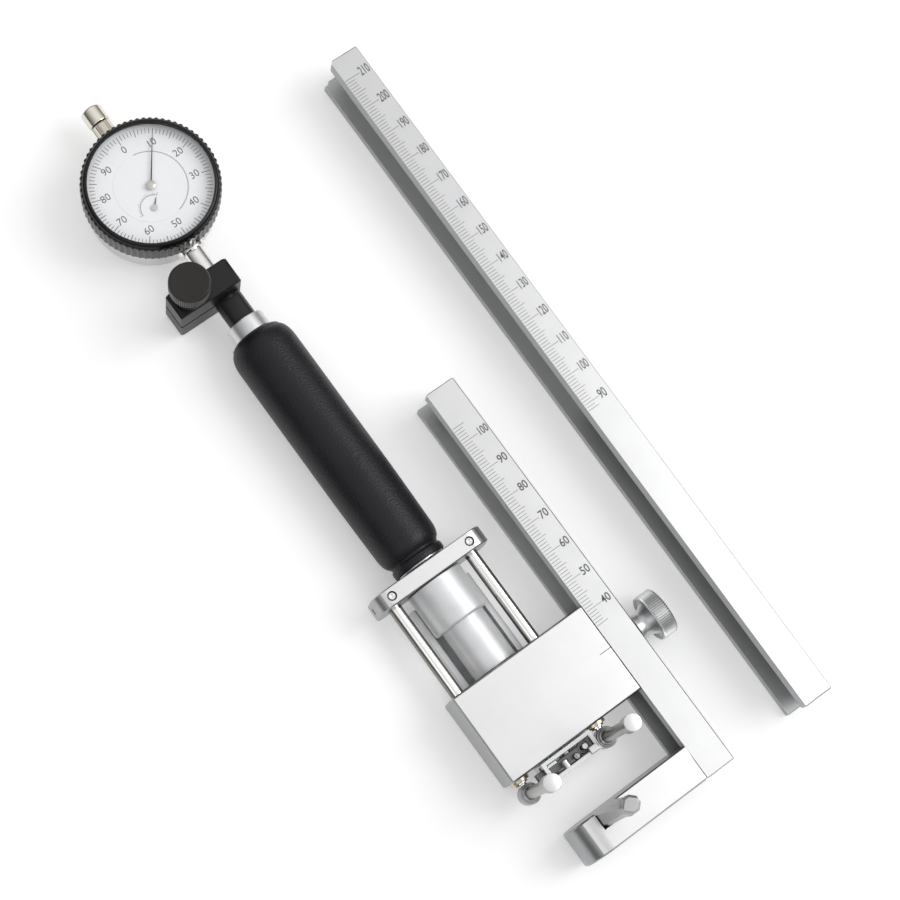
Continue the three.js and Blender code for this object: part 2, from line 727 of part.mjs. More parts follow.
// The arm has a rounded tip and a tenon that fills the end of the channel
function fixedArm() {
  const { tip: left, round: r, tenon } = arm;
  const end = block.right;
  const top = bar.top;
  const shape = new THREE.Shape();
  shape.moveTo(r - left, 0);
  shape.lineTo(end - bar.lip, 0);
  shape.lineTo(end - bar.lip, bar.lower + gap);
  shape.lineTo(end + tenon, bar.lower + gap);
  shape.lineTo(end + tenon, top - bar.upper - gap);
  shape.lineTo(end, top - bar.upper - gap);
  shape.lineTo(end, top);
  shape.lineTo(r - left, top);
  shape.absarc(r - left, top - r, r, Math.PI / 2, Math.PI, false);
  shape.lineTo(-left, r);
  shape.absarc(r - left, r, r, Math.PI, Math.PI * 1.5, false);
  const body = alongY(shape, shortBar.foot, arm.inner, arm.chamfer, 5);
  const [w, d] = [anvil.width / 2 + gap, anvil.depth / 2 + gap];
  const socket = box(-w, w, anvil.centreY - d, arm.inner + overrun, top - anvil.footDepth,
    top + overrun);
  const holes = armScrewPlaces().map((y) => movedBy(cylinder(arm.screwRadius + gap,
    barLeft + bar.width - arm.screwLength - gap * 2, end + tenon + overrun, 'x', 10),
  0, y, channelMiddle));
  return cut(body, socket, ...holes);
}

function fixedAnvil() {
  const { width, depth, stemWidth, stemDepth, headWidth, headDepth, top, corner } = anvil;
  const head = { width: headWidth, depth: headDepth, corner: anvil.headCorner };
  const shrink = anvil.bevel;
  const foot = bar.top - anvil.footDepth + gap;
  const low = top - anvil.headLength;
  return movedBy(tapered([
    { z: foot, width, depth, corner },
    { z: bar.top + anvil.bevel, width, depth, corner },
    { z: low - shrink, width: stemWidth, depth: stemDepth, corner },
    { z: low, ...head },
    { z: top - shrink, ...head },
    { z: top, width: headWidth - shrink, depth: headDepth - shrink, corner: anvil.headCorner },
  ]), 0, anvil.centreY, 0);
}

// An open-topped box on the front of the block, with a slot at its left for the lever
function stopBracket() {
  const back = -block.halfLength - gap;
  const front = back - bracket.depth;
  const { halfWidth: w, wall, x } = bracket;
  const middle = (front + back) / 2;
  const pocket = box(x - w + wall, x + w - wall, front + wall, back - wall,
    bracket.bottom + bracket.floor, bracket.top + overrun);
  const slot = box(x - w - overrun, x, middle - bracket.slot / 2, middle + bracket.slot / 2,
    bracket.slotBottom, bracket.slotTop);
  const pivot = movedBy(cylinder(lever.pinRadius + gap, bracket.bottom - overrun,
    bracket.bottom + bracket.floor + overrun, 'z', 10), lever.pivotX, middle, 0);
  const holes = bracket.screwX.map((place) => movedBy(cylinder(bracket.screwRadius + gap,
    back - wall - overrun, back + overrun, 'y', 10), place, 0, bracket.screwZ));
  return cut(box(x - w, x + w, front, back, bracket.bottom, bracket.top), pocket, slot, pivot,
    ...holes);
}

function bracketScrew(place) {
  const back = -block.halfLength - gap - bracket.wall;
  const { screwRadius, screwHead, screwHeadLength, screwDepth } = bracket;
  const start = back - gap - screwHeadLength;
  const end = -block.halfLength + screwDepth;
  const screw = turned([
    [0, start], [screwHead, start], [screwHead, back - gap], [screwRadius, back - gap],
    [screwRadius, end], [0, end],
  ], 'y', 14);
  const socket = cylinder(screwRadius * hexShare, start - overrun, start + gap * 2, 'y', 6);
  return movedBy(cut(screw, socket), place, 0, bracket.screwZ);
}

function leverPlace() {
  return [lever.pivotX, -block.halfLength - gap - bracket.depth / 2];
}

function stopPivotPin() {
  const [x, y] = leverPlace();
  return movedBy(cylinder(lever.pinRadius, bracket.bottom + gap, bracket.top - gap * 2, 'z', 10),
    x, y, 0);
}

function stopLever() {
  const [x, y] = leverPlace();
  const { halfWidth: w, bossRadius, reach, bottom, thickness, thumb, thumbHalf } = lever;
  const end = reach + thumb;
  const shape = new THREE.Shape();
  const angle = Math.asin(w / bossRadius);
  shape.absarc(0, 0, bossRadius, angle - Math.PI, Math.PI - angle, false);
  shape.lineTo(thumb - end, w);
  shape.lineTo(gap - end + thumb, thumbHalf);
  shape.lineTo(-end, thumbHalf);
  shape.lineTo(-end, -thumbHalf);
  shape.lineTo(gap - end + thumb, -thumbHalf);
  shape.lineTo(thumb - end, -w);
  shape.closePath();
  const bore = cylinder(lever.pinRadius + gap, bottom - overrun, bottom + thickness + overrun,
    'z', 10);
  return movedBy(cut(alongZ(shape, bottom, bottom + thickness, 6), bore), x, y, 0);
}

// The indicator's case is an open cup with bores for the stem and the cap
function indicatorCase() {
  const { radius, back, front, ledge, edge } = caseShell;
  const inner = caseInner;
  const profile = [
    [inner - ledge, back], [radius - edge, back], [radius, back + edge], [radius, front],
    [inner, front], [inner, back + edge + gap], [inner - ledge, back + edge + gap],
    [inner - ledge, back],
  ];
  const stemBore = cylinder(plunger.radius + gap, -radius - overrun, -inner + overrun, 'y', 14);
  const capBore = cylinder(plunger.radius + gap, inner - overrun, radius + overrun, 'y', 14);
  return cut(turned(profile, 'z', 36), stemBore, capBore);
}

function backScrewPlaces() {
  const pitch = caseInner - backCover.screwInset;
  return [...Array(backCover.screws).keys()].map((i) => {
    const turn = (i + 0.5) / backCover.screws * 2 * Math.PI;
    return [pitch * Math.cos(turn), pitch * Math.sin(turn)];
  });
}

function caseBack() {
  const { thickness, screwRadius, edge } = backCover;
  const radius = caseShell.radius - backCover.inset;
  const top = caseShell.back - gap;
  const holes = backScrewPlaces().map(([x, y]) => movedBy(
    cylinder(screwRadius + gap, top - thickness - overrun, top - thickness / 2, 'z', 10), x, y, 0,
  ));
  return cut(turned([
    [0, top - thickness], [radius - edge, top - thickness], [radius, top - thickness + edge],
    [radius, top], [0, top],
  ], 'z', 36), ...holes);
}

function caseBackScrew([x, y]) {
  const { thickness, screwRadius } = backCover;
  const bottom = caseShell.back - gap - thickness;
  return movedBy(cylinder(screwRadius, bottom, bottom + thickness / 2 - gap, 'z', 10), x, y, 0);
}

function indicatorStem() {
  const seat = -Math.sqrt(caseShell.radius ** 2 - stem.shoulder ** 2) - gap;
  const start = clamp.front + gap * 2 - indicator.y;
  const inner = plunger.radius + gap;
  const { radius, shoulder, shoulderLength } = stem;
  const body = turned([
    [inner, start], [radius - gap, start], [radius, start + gap],
    [radius, seat - shoulderLength], [shoulder, seat - shoulderLength + gap],
    [shoulder, seat], [inner, seat], [inner, start],
  ], 'y', 14);
  return cut(body, cylinder(caseShell.radius + gap, caseShell.back, caseShell.front, 'z', 36));
}

function capCollar() {
  const start = caseShell.radius + gap;
  const end = start + cap.collarLength;
  const inner = plunger.radius + gap;
  return turned([[inner, start], [cap.collarRadius, start], [cap.collarRadius, end], [inner, end],
    [inner, start]], 'y', 14);
}

function dustCap() {
  const start = caseShell.radius + gap * 2 + cap.collarLength;
  const end = start + cap.length;
  const { radius, bore, edge } = cap;
  return turned([
    [bore, start], [radius - edge, start], [radius, start + edge], [radius, end - edge],
    [radius - edge, end], [0, end], [0, end - edge * 2], [bore, end - edge * 2], [bore, start],
  ], 'y', 14);
}

function scallopedBezel() {
  const { bottom, front, lip, edge } = bezel;
  const radius = bezelRadius;
  const skirtInner = caseShell.radius + gap;
  const floor = front - lip - crystal.thickness - gap * 2;
  const seat = crystalRadius + gap;
  return knurled([
    [skirtInner, bottom], [radius, bottom], [radius, front - edge * 2],
    [radius - edge, front - edge / 2], [lipInner + edge, front], [lipInner, front - lip],
    [seat, front - lip], [seat, floor], [skirtInner, floor], [skirtInner, bottom],
  ], 'z', radius, bezel.scallops, bezel.scallop);
}

function crystalDisc() {
  const top = bezel.front - bezel.lip - gap;
  const low = top - crystal.thickness;
  const flat = lipInner - gap * 2;
  return turned([
    [0, low], [crystalRadius, low], [crystalRadius, top - crystal.crown], [flat, top], [0, top],
  ], 'z', 36);
}

// The outer dial turns with the bezel, around a centre that stays with the movement
function outerDial() {
  return ring(dialSeam + gap / 2, dialRadius, dialPlate.level, dialTop, 'z', 36);
}

function pointerBlade({ pointerRoot, pointerTip, restTurn }, pointerLength, low) {
  const outline = shapeOf([[-pointerRoot, 0], [pointerRoot, 0], [pointerTip, pointerLength],
    [-pointerTip, pointerLength]]);
  const blade = alongZ(outline, low, low + hub.pointerThickness);
  return blade.rotateZ(THREE.MathUtils.degToRad(restTurn));
}

const wheelModule = 2 * Math.hypot(counterX, counterY)
  / (train.wheelTeeth + train.centreTeeth);
const rackPinionRadius = train.rackPitch * train.rackPinionTeeth / (2 * Math.PI);
const counterAngle = Math.atan2(counterY, counterX);

function mainPointer() {
  const low = dialTop + gap * 2 + counterHub.thickness;
  const blade = pointerBlade(hub, dialRadius - hub.pointerInset, low);
  return join(blade, cylinder(hub.radius, low - gap / 2, low + hub.thickness, 'z', 20));
}

function counterPointer() {
  const low = dialTop + gap;
  const blade = pointerBlade(counterHub, counterHub.pointerLength, low);
  return join(blade, cylinder(counterHub.radius, low, low + counterHub.thickness, 'z', 20));
}

// The centre shaft with its small pinion, which both wheels drive
function centrePinion() {
  const { wheelBottom, wheelThickness, pinionReach, shaftRadius, centreTeeth } = train;
  const step = 2 * Math.PI / centreTeeth;
  const pinion = alongZ(toothed(centreTeeth, wheelModule, counterAngle + step / 2),
    wheelBottom - pinionReach, wheelBottom + wheelThickness + pinionReach);
  return join(pinion, cylinder(shaftRadius, wheelBottom - pinionReach, dialTop + gap, 'z', 10));
}

function wheelOn(angle) {
  const { wheelTeeth, wheelBottom, wheelThickness } = train;
  return alongZ(toothed(wheelTeeth, wheelModule, angle), wheelBottom,
    wheelBottom + wheelThickness);
}

// The counter shaft carries the wheel and, level with the plunger, the rack's pinion
function counterGear() {
  const low = movement.plateBottom + movement.plateThickness + gap;
  const half = train.rackPinionHalf;
  const pinion = alongZ(toothed(train.rackPinionTeeth, train.rackPitch / Math.PI, 0), -half, half);
  return join(wheelOn(counterAngle + Math.PI), pinion,
    cylinder(train.shaftRadius, low, dialTop, 'z', 10));
}

function takeupGear() {
  const low = train.wheelBottom - gap;
  const high = movement.bridgeBottom - gap;
  return join(wheelOn(counterAngle), cylinder(train.shaftRadius * 2, low, high, 'z', 10));
}

// Where the plunger ends, just below the stem
function plungerFoot() {
  return clamp.front + gap * 2 - plunger.reach - indicator.y;
}

// The plunger carries a short rack that faces the counter shaft
function plungerRod() {
  const { radius, rackHalf, collarRadius, collarLength } = plunger;
  const top = caseShell.radius + plunger.headReach;
  const module = train.rackPitch / Math.PI;
  const pitchLine = counterX + rackPinionRadius;
  const tipLine = pitchLine - train.addendumShare * module;
  const rootLine = pitchLine + train.dedendumShare * module;
  const foot = train.rackPitch * train.toothShare;
  const crest = foot * train.tipShare;
  const count = Math.floor(rackHalf / train.rackPitch);
  const points = [[0, counterY - rackHalf], [rootLine, counterY - rackHalf]];
  for (let i = -count; i < count; i += 1) {
    const y = counterY + (i + 0.5) * train.rackPitch;
    points.push([rootLine, y - foot], [tipLine, y - crest], [tipLine, y + crest],
      [rootLine, y + foot]);
  }
  points.push([rootLine, counterY + rackHalf], [0, counterY + rackHalf]);
  const rack = alongZ(shapeOf(points), -plunger.rackDepth / 2, plunger.rackDepth / 2);
  const collarEnd = counterY - rackHalf;
  const stop = cylinder(collarRadius, collarEnd - collarLength, collarEnd, 'y', 14);
  return join(cylinder(radius, plungerFoot(), top, 'y', 14), stop, rack);
}

function contactTip() {
  const end = plungerFoot() - gap;
  const start = rod.top + gap - indicator.y;
  return turned([[0, start], [tip.ball / 2, start + gap / 2], [tip.ball, start + gap * 2],
    [tip.radius, (start + end) / 2], [tip.radius, end], [0, end]], 'y', 14);
}

// The movement's lower plate with its four riveted pillars
function movementPlate() {
  const { plateBottom, plateThickness, pillarRadius } = movement;
  const pillarX = movement.pillarShareX * caseInner;
  const pillarY = movement.pillarShareY * caseInner;
  const pillars = [[-1, -1], [1, -1], [-1, 1], [1, 1]].map(([i, j]) => movedBy(
    cylinder(pillarRadius, plateBottom, movement.bridgeBottom - gap, 'z', 10),
    i * pillarX, j * pillarY, 0,
  ));
  return join(cylinder(caseInner - movement.plateInset, plateBottom, plateBottom + plateThickness,
    'z', 32), ...pillars);
}

// A bridge under the dial holds the upper ends of the shafts, stands on the pillars, and carries
// the centre of the dial on two posts
function movementBridge() {
  const { bridgeHalfWidth: w, bridgeBottom, bridgeThickness } = movement;
  const l = bridgeHalfLength;
  const holes = [[0, 0], [counterX, counterY]].map(([x, y]) => movedBy(
    cylinder(train.shaftRadius + gap, bridgeBottom - overrun, dialTop + overrun, 'z', 10),
    x, y, 0));
  const posts = [-1, 1].map((side) => movedBy(
    cylinder(movement.postRadius, bridgeBottom, dialTop, 'z', 10),
    0, side * (dialSeam - movement.postInset), 0,
  ));
  const centre = cylinder(dialSeam - gap / 2, dialPlate.level, dialTop, 'z', 36);
  const bridge = box(-w, w, -l, l, bridgeBottom, bridgeBottom + bridgeThickness);
  return cut(join(bridge, ...posts, centre), ...holes);
}

function hairSpring() {
  const { inner, outer, turns, thickness, height } = hair;
  const steps = turns * hair.steps;
  const low = train.wheelBottom + train.wheelThickness + gap;
  const side = (turn) => {
    const at = inner + (outer - inner) * turn / (turns * 2 * Math.PI);
    return [at, at + thickness];
  };
  const left = [];
  const right = [];
  for (let i = 0; i <= steps; i += 1) {
    const turn = i / hair.steps * 2 * Math.PI;
    const [a, b] = side(turn);
    left.push([a * Math.cos(turn), a * Math.sin(turn)]);
    right.unshift([b * Math.cos(turn), b * Math.sin(turn)]);
  }
  return alongZ(shapeOf([...left, ...right]), low, low + height);
}

// Fixed frame of the gauge
add(gauge, 'carriage_block', carriageBlock(), 'satin');
for (const [hand, side] of [['left', -1], ['right', 1]]) {
  add(gauge, `front_bush_${hand}`, guideBush(side, true), 'brass');
  add(gauge, `rear_bush_${hand}`, guideBush(side, false), 'brass');
  add(gauge, `column_${hand}`, columnRod(side), 'chrome');
  add(gauge, `column_set_screw_${hand}`, columnSetScrew(side), 'chrome');
  add(gauge, `measuring_pin_${hand}`, measuringPin(side), 'steel');
}
add(gauge, 'sleeve_cradle', sleeveCradle(), 'satin');
add(gauge, 'stop_bracket', stopBracket(), 'satin');
bracket.screwX.forEach((x, i) => add(gauge, `bracket_screw_${i + 1}`, bracketScrew(x), 'steel'));
add(gauge, 'stop_pivot_pin', stopPivotPin(), 'steel');
add(gauge, 'stop_lever', stopLever(), 'blackened');

// Pieces that share the handle's axis
const handle = new THREE.Group();
handle.position.z = axisHeight;
gauge.add(handle);
add(handle, 'spring_post', springPost(), 'satin');
add(handle, 'push_rod', pushRod(), 'steel');
add(handle, 'outer_sleeve', outerSleeve(), 'satin');
add(handle, 'return_spring', coil(coilSpring.radius, coilSpring.wire, coilSpring.turns,
  block.halfLength + gap * 2 + post.edge, plate.front - gap), 'steel');
add(handle, 'handle_tube', handleTube(), 'steel');
add(handle, 'grip_ring', gripFootRing(), 'satin');
add(handle, 'grip', gripBody(), 'grip');
add(handle, 'grip_collar', gripCollar(), 'satin');
add(handle, 'neck_adapter', neckAdapter(), 'black');
add(handle, 'clamp_body', clampBody(), 'black');

add(gauge, 'top_plate', topPlate(), 'satin');

// Clamp screw of the indicator
const clampScrew = new THREE.Group();
const clampMiddle = clamp.front + clamp.depth / 2;
clampScrew.position.set(-clamp.screwX, clampMiddle, axisHeight + clamp.halfHeight + gap);
gauge.add(clampScrew);
add(clampScrew, 'clamp_washer', ring(clamp.screwRadius + gap, clamp.washerRadius, 0, clamp.washer,
  'z', 20), 'blackened');
add(clampScrew, 'clamp_knob', clampKnob(), 'black').position.z = clamp.washer + gap;

// Indicator
const dial = new THREE.Group();
dial.position.set(0, indicator.y, axisHeight);
gauge.add(dial);
add(dial, 'case', indicatorCase(), 'satin');
add(dial, 'back_cover', caseBack(), 'satin');
backScrewPlaces().forEach((place, i) => {
  add(dial, `back_cover_screw_${i + 1}`, caseBackScrew(place), 'steel');
});
add(dial, 'stem', indicatorStem(), 'chrome');
add(dial, 'cap_collar', capCollar(), 'nickel');
add(dial, 'cap', dustCap(), 'nickel');
add(dial, 'bezel', scallopedBezel(), 'black');
add(dial, 'crystal', crystalDisc(), 'glass');
add(dial, 'dial_plate', outerDial(), 'dial');
add(dial, 'main_pointer', mainPointer(), 'blackened');
add(dial, 'centre_pinion', centrePinion(), 'steel');
add(dial, 'movement_plate', movementPlate(), 'brass');
add(dial, 'movement_bridge', movementBridge(), 'brass');
add(dial, 'plunger', plungerRod(), 'steel');
add(dial, 'contact_tip', contactTip(), 'steel');
add(dial, 'plunger_spring', coil(plungerCoil.radius, plungerCoil.wire, plungerCoil.turns,
  -caseInner + gap, counterY - plunger.rackHalf - plunger.collarLength - gap), 'steel');

// Shafts of the movement
const counterShaft = new THREE.Group();
counterShaft.position.set(counterX, counterY, 0);
dial.add(counterShaft);
add(counterShaft, 'counter_gear', counterGear(), 'brass');
add(counterShaft, 'counter_pointer', counterPointer(), 'blackened');
const takeupShaft = new THREE.Group();
takeupShaft.position.set(-counterX, -counterY, 0);
dial.add(takeupShaft);
add(takeupShaft, 'takeup_gear', takeupGear(), 'brass');
add(takeupShaft, 'hairspring', hairSpring(), 'steel');

// Scale bar with its arm and clamp
const scale = new THREE.Group();
scale.position.x = barLeft;
gauge.add(scale);
add(scale, 'scale_bar', scaleBar(), 'satin');
armScrewPlaces().forEach((y, i) => add(scale, `arm_screw_${i + 1}`, armScrew(y), 'steel'));
add(gauge, 'fixed_arm', fixedArm(), 'satin');
add(gauge, 'fixed_anvil', fixedAnvil(), 'steel');
const barScrew = new THREE.Group();
barScrew.position.set(barLeft + bar.width + gap, 0, channelMiddle);
gauge.add(barScrew);
add(barScrew, 'bar_clamp_washer', ring(barClamp.screwRadius + gap, barClamp.washerRadius, 0,
  barClamp.washer, 'x', 20), 'steel');
add(barScrew, 'bar_clamp_knob', barClampKnob(), 'satin').position.x = barClamp.washer + gap;

// The longer bar of the set
const spare = new THREE.Group();
spare.position.x = longBar.x;
spare.rotation.z = THREE.MathUtils.degToRad(longBar.turn);
gauge.add(spare);
add(spare, 'long_scale_bar', longScaleBar(), 'satin');

export default gauge;
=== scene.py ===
import json
import math
import bpy
from mathutils import Matrix, Vector

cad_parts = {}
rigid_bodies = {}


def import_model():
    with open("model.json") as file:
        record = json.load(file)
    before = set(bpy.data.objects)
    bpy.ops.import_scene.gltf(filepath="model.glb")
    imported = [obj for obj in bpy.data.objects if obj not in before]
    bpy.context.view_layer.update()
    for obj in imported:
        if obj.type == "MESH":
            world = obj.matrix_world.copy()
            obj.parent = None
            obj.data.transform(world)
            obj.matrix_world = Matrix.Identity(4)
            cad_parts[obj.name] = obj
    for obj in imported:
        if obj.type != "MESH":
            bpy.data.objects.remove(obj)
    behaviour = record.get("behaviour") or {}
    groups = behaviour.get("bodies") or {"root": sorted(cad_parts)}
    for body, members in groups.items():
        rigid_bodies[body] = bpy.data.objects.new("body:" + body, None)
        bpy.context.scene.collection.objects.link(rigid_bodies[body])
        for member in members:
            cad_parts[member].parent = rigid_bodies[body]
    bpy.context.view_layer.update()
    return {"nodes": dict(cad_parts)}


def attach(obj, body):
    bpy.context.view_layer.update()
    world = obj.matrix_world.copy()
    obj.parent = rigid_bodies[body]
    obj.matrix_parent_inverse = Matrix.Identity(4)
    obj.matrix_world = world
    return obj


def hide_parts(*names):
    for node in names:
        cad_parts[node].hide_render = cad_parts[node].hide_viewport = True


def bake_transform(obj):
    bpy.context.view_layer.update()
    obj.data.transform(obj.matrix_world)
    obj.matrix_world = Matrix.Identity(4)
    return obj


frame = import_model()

mm = 0.001

# The photographer's view: high above the gauge, from the side of the handle, with the picture
# turned so that the dial lies at the upper left.
turn, height, roll = (math.radians(a) for a in (-63.38, 75.67, -27.76))
backward = Vector((math.sin(turn) * math.cos(height), -math.cos(turn) * math.cos(height),
                   math.sin(height)))
level = (-backward).cross(Vector((0, 0, 1))).normalized()
lower = (-backward).cross(level)
across = math.cos(roll) * level + math.sin(roll) * lower
above = math.sin(roll) * level - math.cos(roll) * lower
bpy.ops.object.select_all(action="DESELECT")
bpy.ops.object.camera_add(location=Vector((-122.71, -1.33, 665.72)) * mm,
                          rotation=Matrix((across, above, backward)).transposed().to_euler())
camera = bpy.context.object
camera.data.sensor_fit = "HORIZONTAL"
camera.data.sensor_width = 36
camera.data.lens = 92.72
camera.data.clip_start = 0.01
bpy.context.scene.camera = camera
bpy.context.scene.view_settings.view_transform = "Standard"


class Wire:
    """A socket of a node tree that can be added to, subtracted from and multiplied."""

    def __init__(self, tree, socket=None):
        self.tree, self.socket = tree, socket

    def node(self, kind, settings=None, sockets=None, output=0):
        made = self.tree.nodes.new("ShaderNode" + kind)
        for name, value in (settings or {}).items():
            if name == "stops":
                for stop, (place, colour) in zip(made.color_ramp.elements, value):
                    stop.position, stop.color = place, colour
            else:
                setattr(made, name, value)
        for name, value in (sockets or {}).items():
            if isinstance(value, Wire):
                self.tree.links.new(value.socket, made.inputs[name])
            else:
                made.inputs[name].default_value = value
        return Wire(self.tree, made.outputs[output] if made.outputs else None)

    def sum(self, operation, *values):
        return self.node("Math", {"operation": operation}, dict(enumerate(values)))

    def __add__(self, other):
        return self.sum("ADD", self, other)

    def __sub__(self, other):
        return self.sum("SUBTRACT", self, other)

    def __mul__(self, other):
        return self.sum("MULTIPLY", self, other)


def rgb(colour):
    return (*colour, 1) if not isinstance(colour, float) else (colour, colour, colour, 1)


# The table: a wide white sheet that shows white to the camera and keeps the gauge's shadow.
# The room is bright above and to the right, with a large lamp there and a weak one on the left.
paper = bpy.data.materials.new("white_table")
paper.use_nodes = True
paper.node_tree.nodes.clear()
wire = Wire(paper.node_tree)
seen = wire.sum("MINIMUM", wire.node("LightPath", output="Is Camera Ray")
                + wire.node("LightPath", output="Is Glossy Ray")
                + wire.node("LightPath", output="Is Transmission Ray"), 1.0)
lit = wire.node("BsdfDiffuse", {}, {"Color": rgb(0.97)})
white = wire.node("Emission", {}, {"Color": rgb(1.0), "Strength": 1.6})
both = wire.node("MixShader", {}, {0: seen * 0.2, 1: lit, 2: white})
wire.node("OutputMaterial", {}, {"Surface": both})
bpy.ops.mesh.primitive_plane_add(size=6, location=(0, 0.05, -0.05 * mm))
table = bpy.context.object
table.name = "table"
table.data.materials.append(paper)

room = bpy.data.worlds.new("room")
bpy.context.scene.world = room
room.use_nodes = True
room.node_tree.nodes.clear()
wire = Wire(room.node_tree)
facing = wire.node("TexCoord", output="Generated")
sky = wire.node("ValToRGB", {"stops": ((0.05, rgb(0.05)), (0.8, rgb(0.98)))},
                {0: wire.node("SeparateXYZ", {}, {0: facing}, output=2)})
side = wire.node("MapRange", {"interpolation_type": "SMOOTHSTEP"},
                 {0: wire.node("SeparateXYZ", {}, {0: facing}), 1: -0.9, 2: 0.1, 3: 0.45, 4: 1.0})
glow = wire.node("VectorMath", {"operation": "SCALE"}, {0: sky, 3: side})
wire.node("OutputWorld", {}, {"Surface": wire.node("Background", {}, {0: glow, 1: 1.0})})

lamp_target = Vector((0.02, 0.08, 0.0))
for name, place, size, watts in (("window_lamp", (0.8, -0.2, 0.95), 0.8, 7.0),
                                 ("fill_lamp", (-0.9, -0.2, 1.1), 0.7, 1.2)):
    aim = lamp_target - Vector(place)
    bpy.ops.object.light_add(type="AREA", location=place,
                             rotation=aim.to_track_quat("-Z", "Y").to_euler())
    lamp = bpy.context.object
    lamp.name = name
    lamp.data.size, lamp.data.energy = size, watts


# The block: ground tool steel, matt chromed, with a fine index line for the scale. It is milled
# from one bar with its tongue and bores, so its copy only gets the broken edges.
def new_finish(name):
    made = bpy.data.materials.new(name)
    made.use_nodes = True
    made.node_tree.nodes.clear()
    return made, Wire(made.node_tree)


def shade(wire, sockets):
    """Ends a material in a principled shader with these inputs."""
    shader = wire.node("BsdfPrincipled", {}, sockets)
    wire.node("OutputMaterial", {}, {"Surface": shader})


def blend(wire, factor, first, second):
    return wire.node("Mix", {"data_type": "RGBA"},
                     {0: factor, 6: rgb(first), 7: rgb(second)}, output=2)


def lined_metal(name, colour, roughness, run="x", relief=0.3, shine=1.0, spread=0.1):
    """Metal with fine machining lines that run along an axis, or around it for a capital."""
    made, wire = new_finish(name)
    place = wire.node("TexCoord", output="Object")
    stretch = [(150 if axis == run else 4200) if run.islower() else
               (3800 if axis == run.lower() else 260) for axis in "xyz"]
    drawn = wire.node("Mapping", {}, {"Vector": place, "Scale": stretch})
    lines = wire.node("TexNoise", {}, {"Vector": drawn, "Scale": 1.0, "Detail": 3.0})
    clouds = wire.node("TexNoise", {}, {"Vector": place, "Scale": 130.0, "Detail": 3.0})
    specks = wire.node("TexNoise", {}, {"Vector": place, "Scale": 2600.0, "Detail": 1.0})
    tone = lines * 0.45 + clouds * 0.4 + specks * 0.15
    bump = wire.node("Bump", {}, {"Strength": relief, "Distance": 8e-6,
                                  "Height": lines + specks * 0.5})
    dark = tuple(c * 0.86 for c in colour)
    shade(wire, {"Base Color": blend(wire, tone, dark, colour), "Metallic": shine,
                 "Roughness": tone * spread + (roughness - spread / 2), "Normal": bump})
    return made


def take(piece):
    """Selects one piece alone, in object mode."""
    if bpy.context.mode != "OBJECT":
        bpy.ops.object.mode_set(mode="OBJECT")
    bpy.ops.object.select_all(action="DESELECT")
    piece.select_set(True)
    bpy.context.view_layer.objects.active = piece


def edge_break(piece, width, segments=2):
    """Bevels the sharp edges of a piece; the width is in millimetres."""
    take(piece)
    bevel = piece.modifiers.new("edges", "BEVEL")
    bevel.width, bevel.segments = width * mm, segments
    bevel.limit_method, bevel.angle_limit = "ANGLE", math.radians(45)
    bpy.ops.object.modifier_apply(modifier="edges")


def machined(name, node, edge, segments=2):
    """A free copy of a machined solid with its doubles merged and its edges broken."""
    take(frame["nodes"][node])
    bpy.ops.object.duplicate()
    piece = bpy.context.object
    piece.name = piece.data.name = name
    for key in list(piece.keys()):
        del piece[key]
    bpy.ops.object.parent_clear(type="CLEAR_KEEP_TRANSFORM")
    bpy.ops.mesh.customdata_custom_splitnormals_clear()
    bpy.ops.object.mode_set(mode="EDIT")
    bpy.ops.mesh.select_all(action="SELECT")
    bpy.ops.mesh.remove_doubles(threshold=0.002 * mm)
    bpy.ops.mesh.dissolve_limited(angle_limit=math.radians(1))
    take(piece)
    if edge:
        edge_break(piece, edge, segments)
    piece.data.materials.clear()
    return piece


def pick(piece, chosen):
    """Opens the piece with only the chosen vertices selected; chosen takes a place in mm."""
    take(piece)
    bpy.ops.object.mode_set(mode="EDIT")
    bpy.ops.mesh.select_mode(type="VERT")
    bpy.ops.mesh.select_all(action="DESELECT")
    bpy.ops.object.mode_set(mode="OBJECT")
    for vertex in piece.data.vertices:
        vertex.select = chosen(vertex.co / mm)
    bpy.ops.object.mode_set(mode="EDIT")


def settle(piece, finish, body, slot, *nodes, smooth=40):
    """Puts a finished piece's place in its mesh, and fastens it to its body, if one is named."""
    take(piece)
    bpy.ops.object.transform_apply(location=True, rotation=True, scale=True)
    bpy.ops.object.shade_smooth_by_angle(angle=math.radians(smooth))
    flat = piece.modifiers.new("flat_faces", "WEIGHTED_NORMAL")
    flat.keep_sharp = True
    bpy.ops.object.modifier_apply(modifier="flat_faces")
    if not piece.data.materials or not piece.data.materials[0]:
        piece.data.materials.clear()
        piece.data.materials.append(finish)
    if body:
        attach(piece, body)
    if nodes:
        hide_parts(*nodes)
    return piece


def dress(finish, *nodes):
    """Gives solids that keep their shape a finish."""
    for node in nodes:
        frame["nodes"][node].material_slots[0].material = finish


def always(centre, normal):
    return True


# Faces that stand upright; the darker copies of the metals put painted shade on them.
def upright(centre, normal):
    return abs(normal.z) < 0.9


def finish_faces(piece, *finishes):
    """Gives each face the last finish whose test of its centre, in mm, and normal holds."""
    for place, (finish, test) in enumerate(finishes):
        piece.data.materials.append(finish)
        for face in piece.data.polygons:
            if test(piece.matrix_world @ face.center / mm, face.normal):
                face.material_index = place


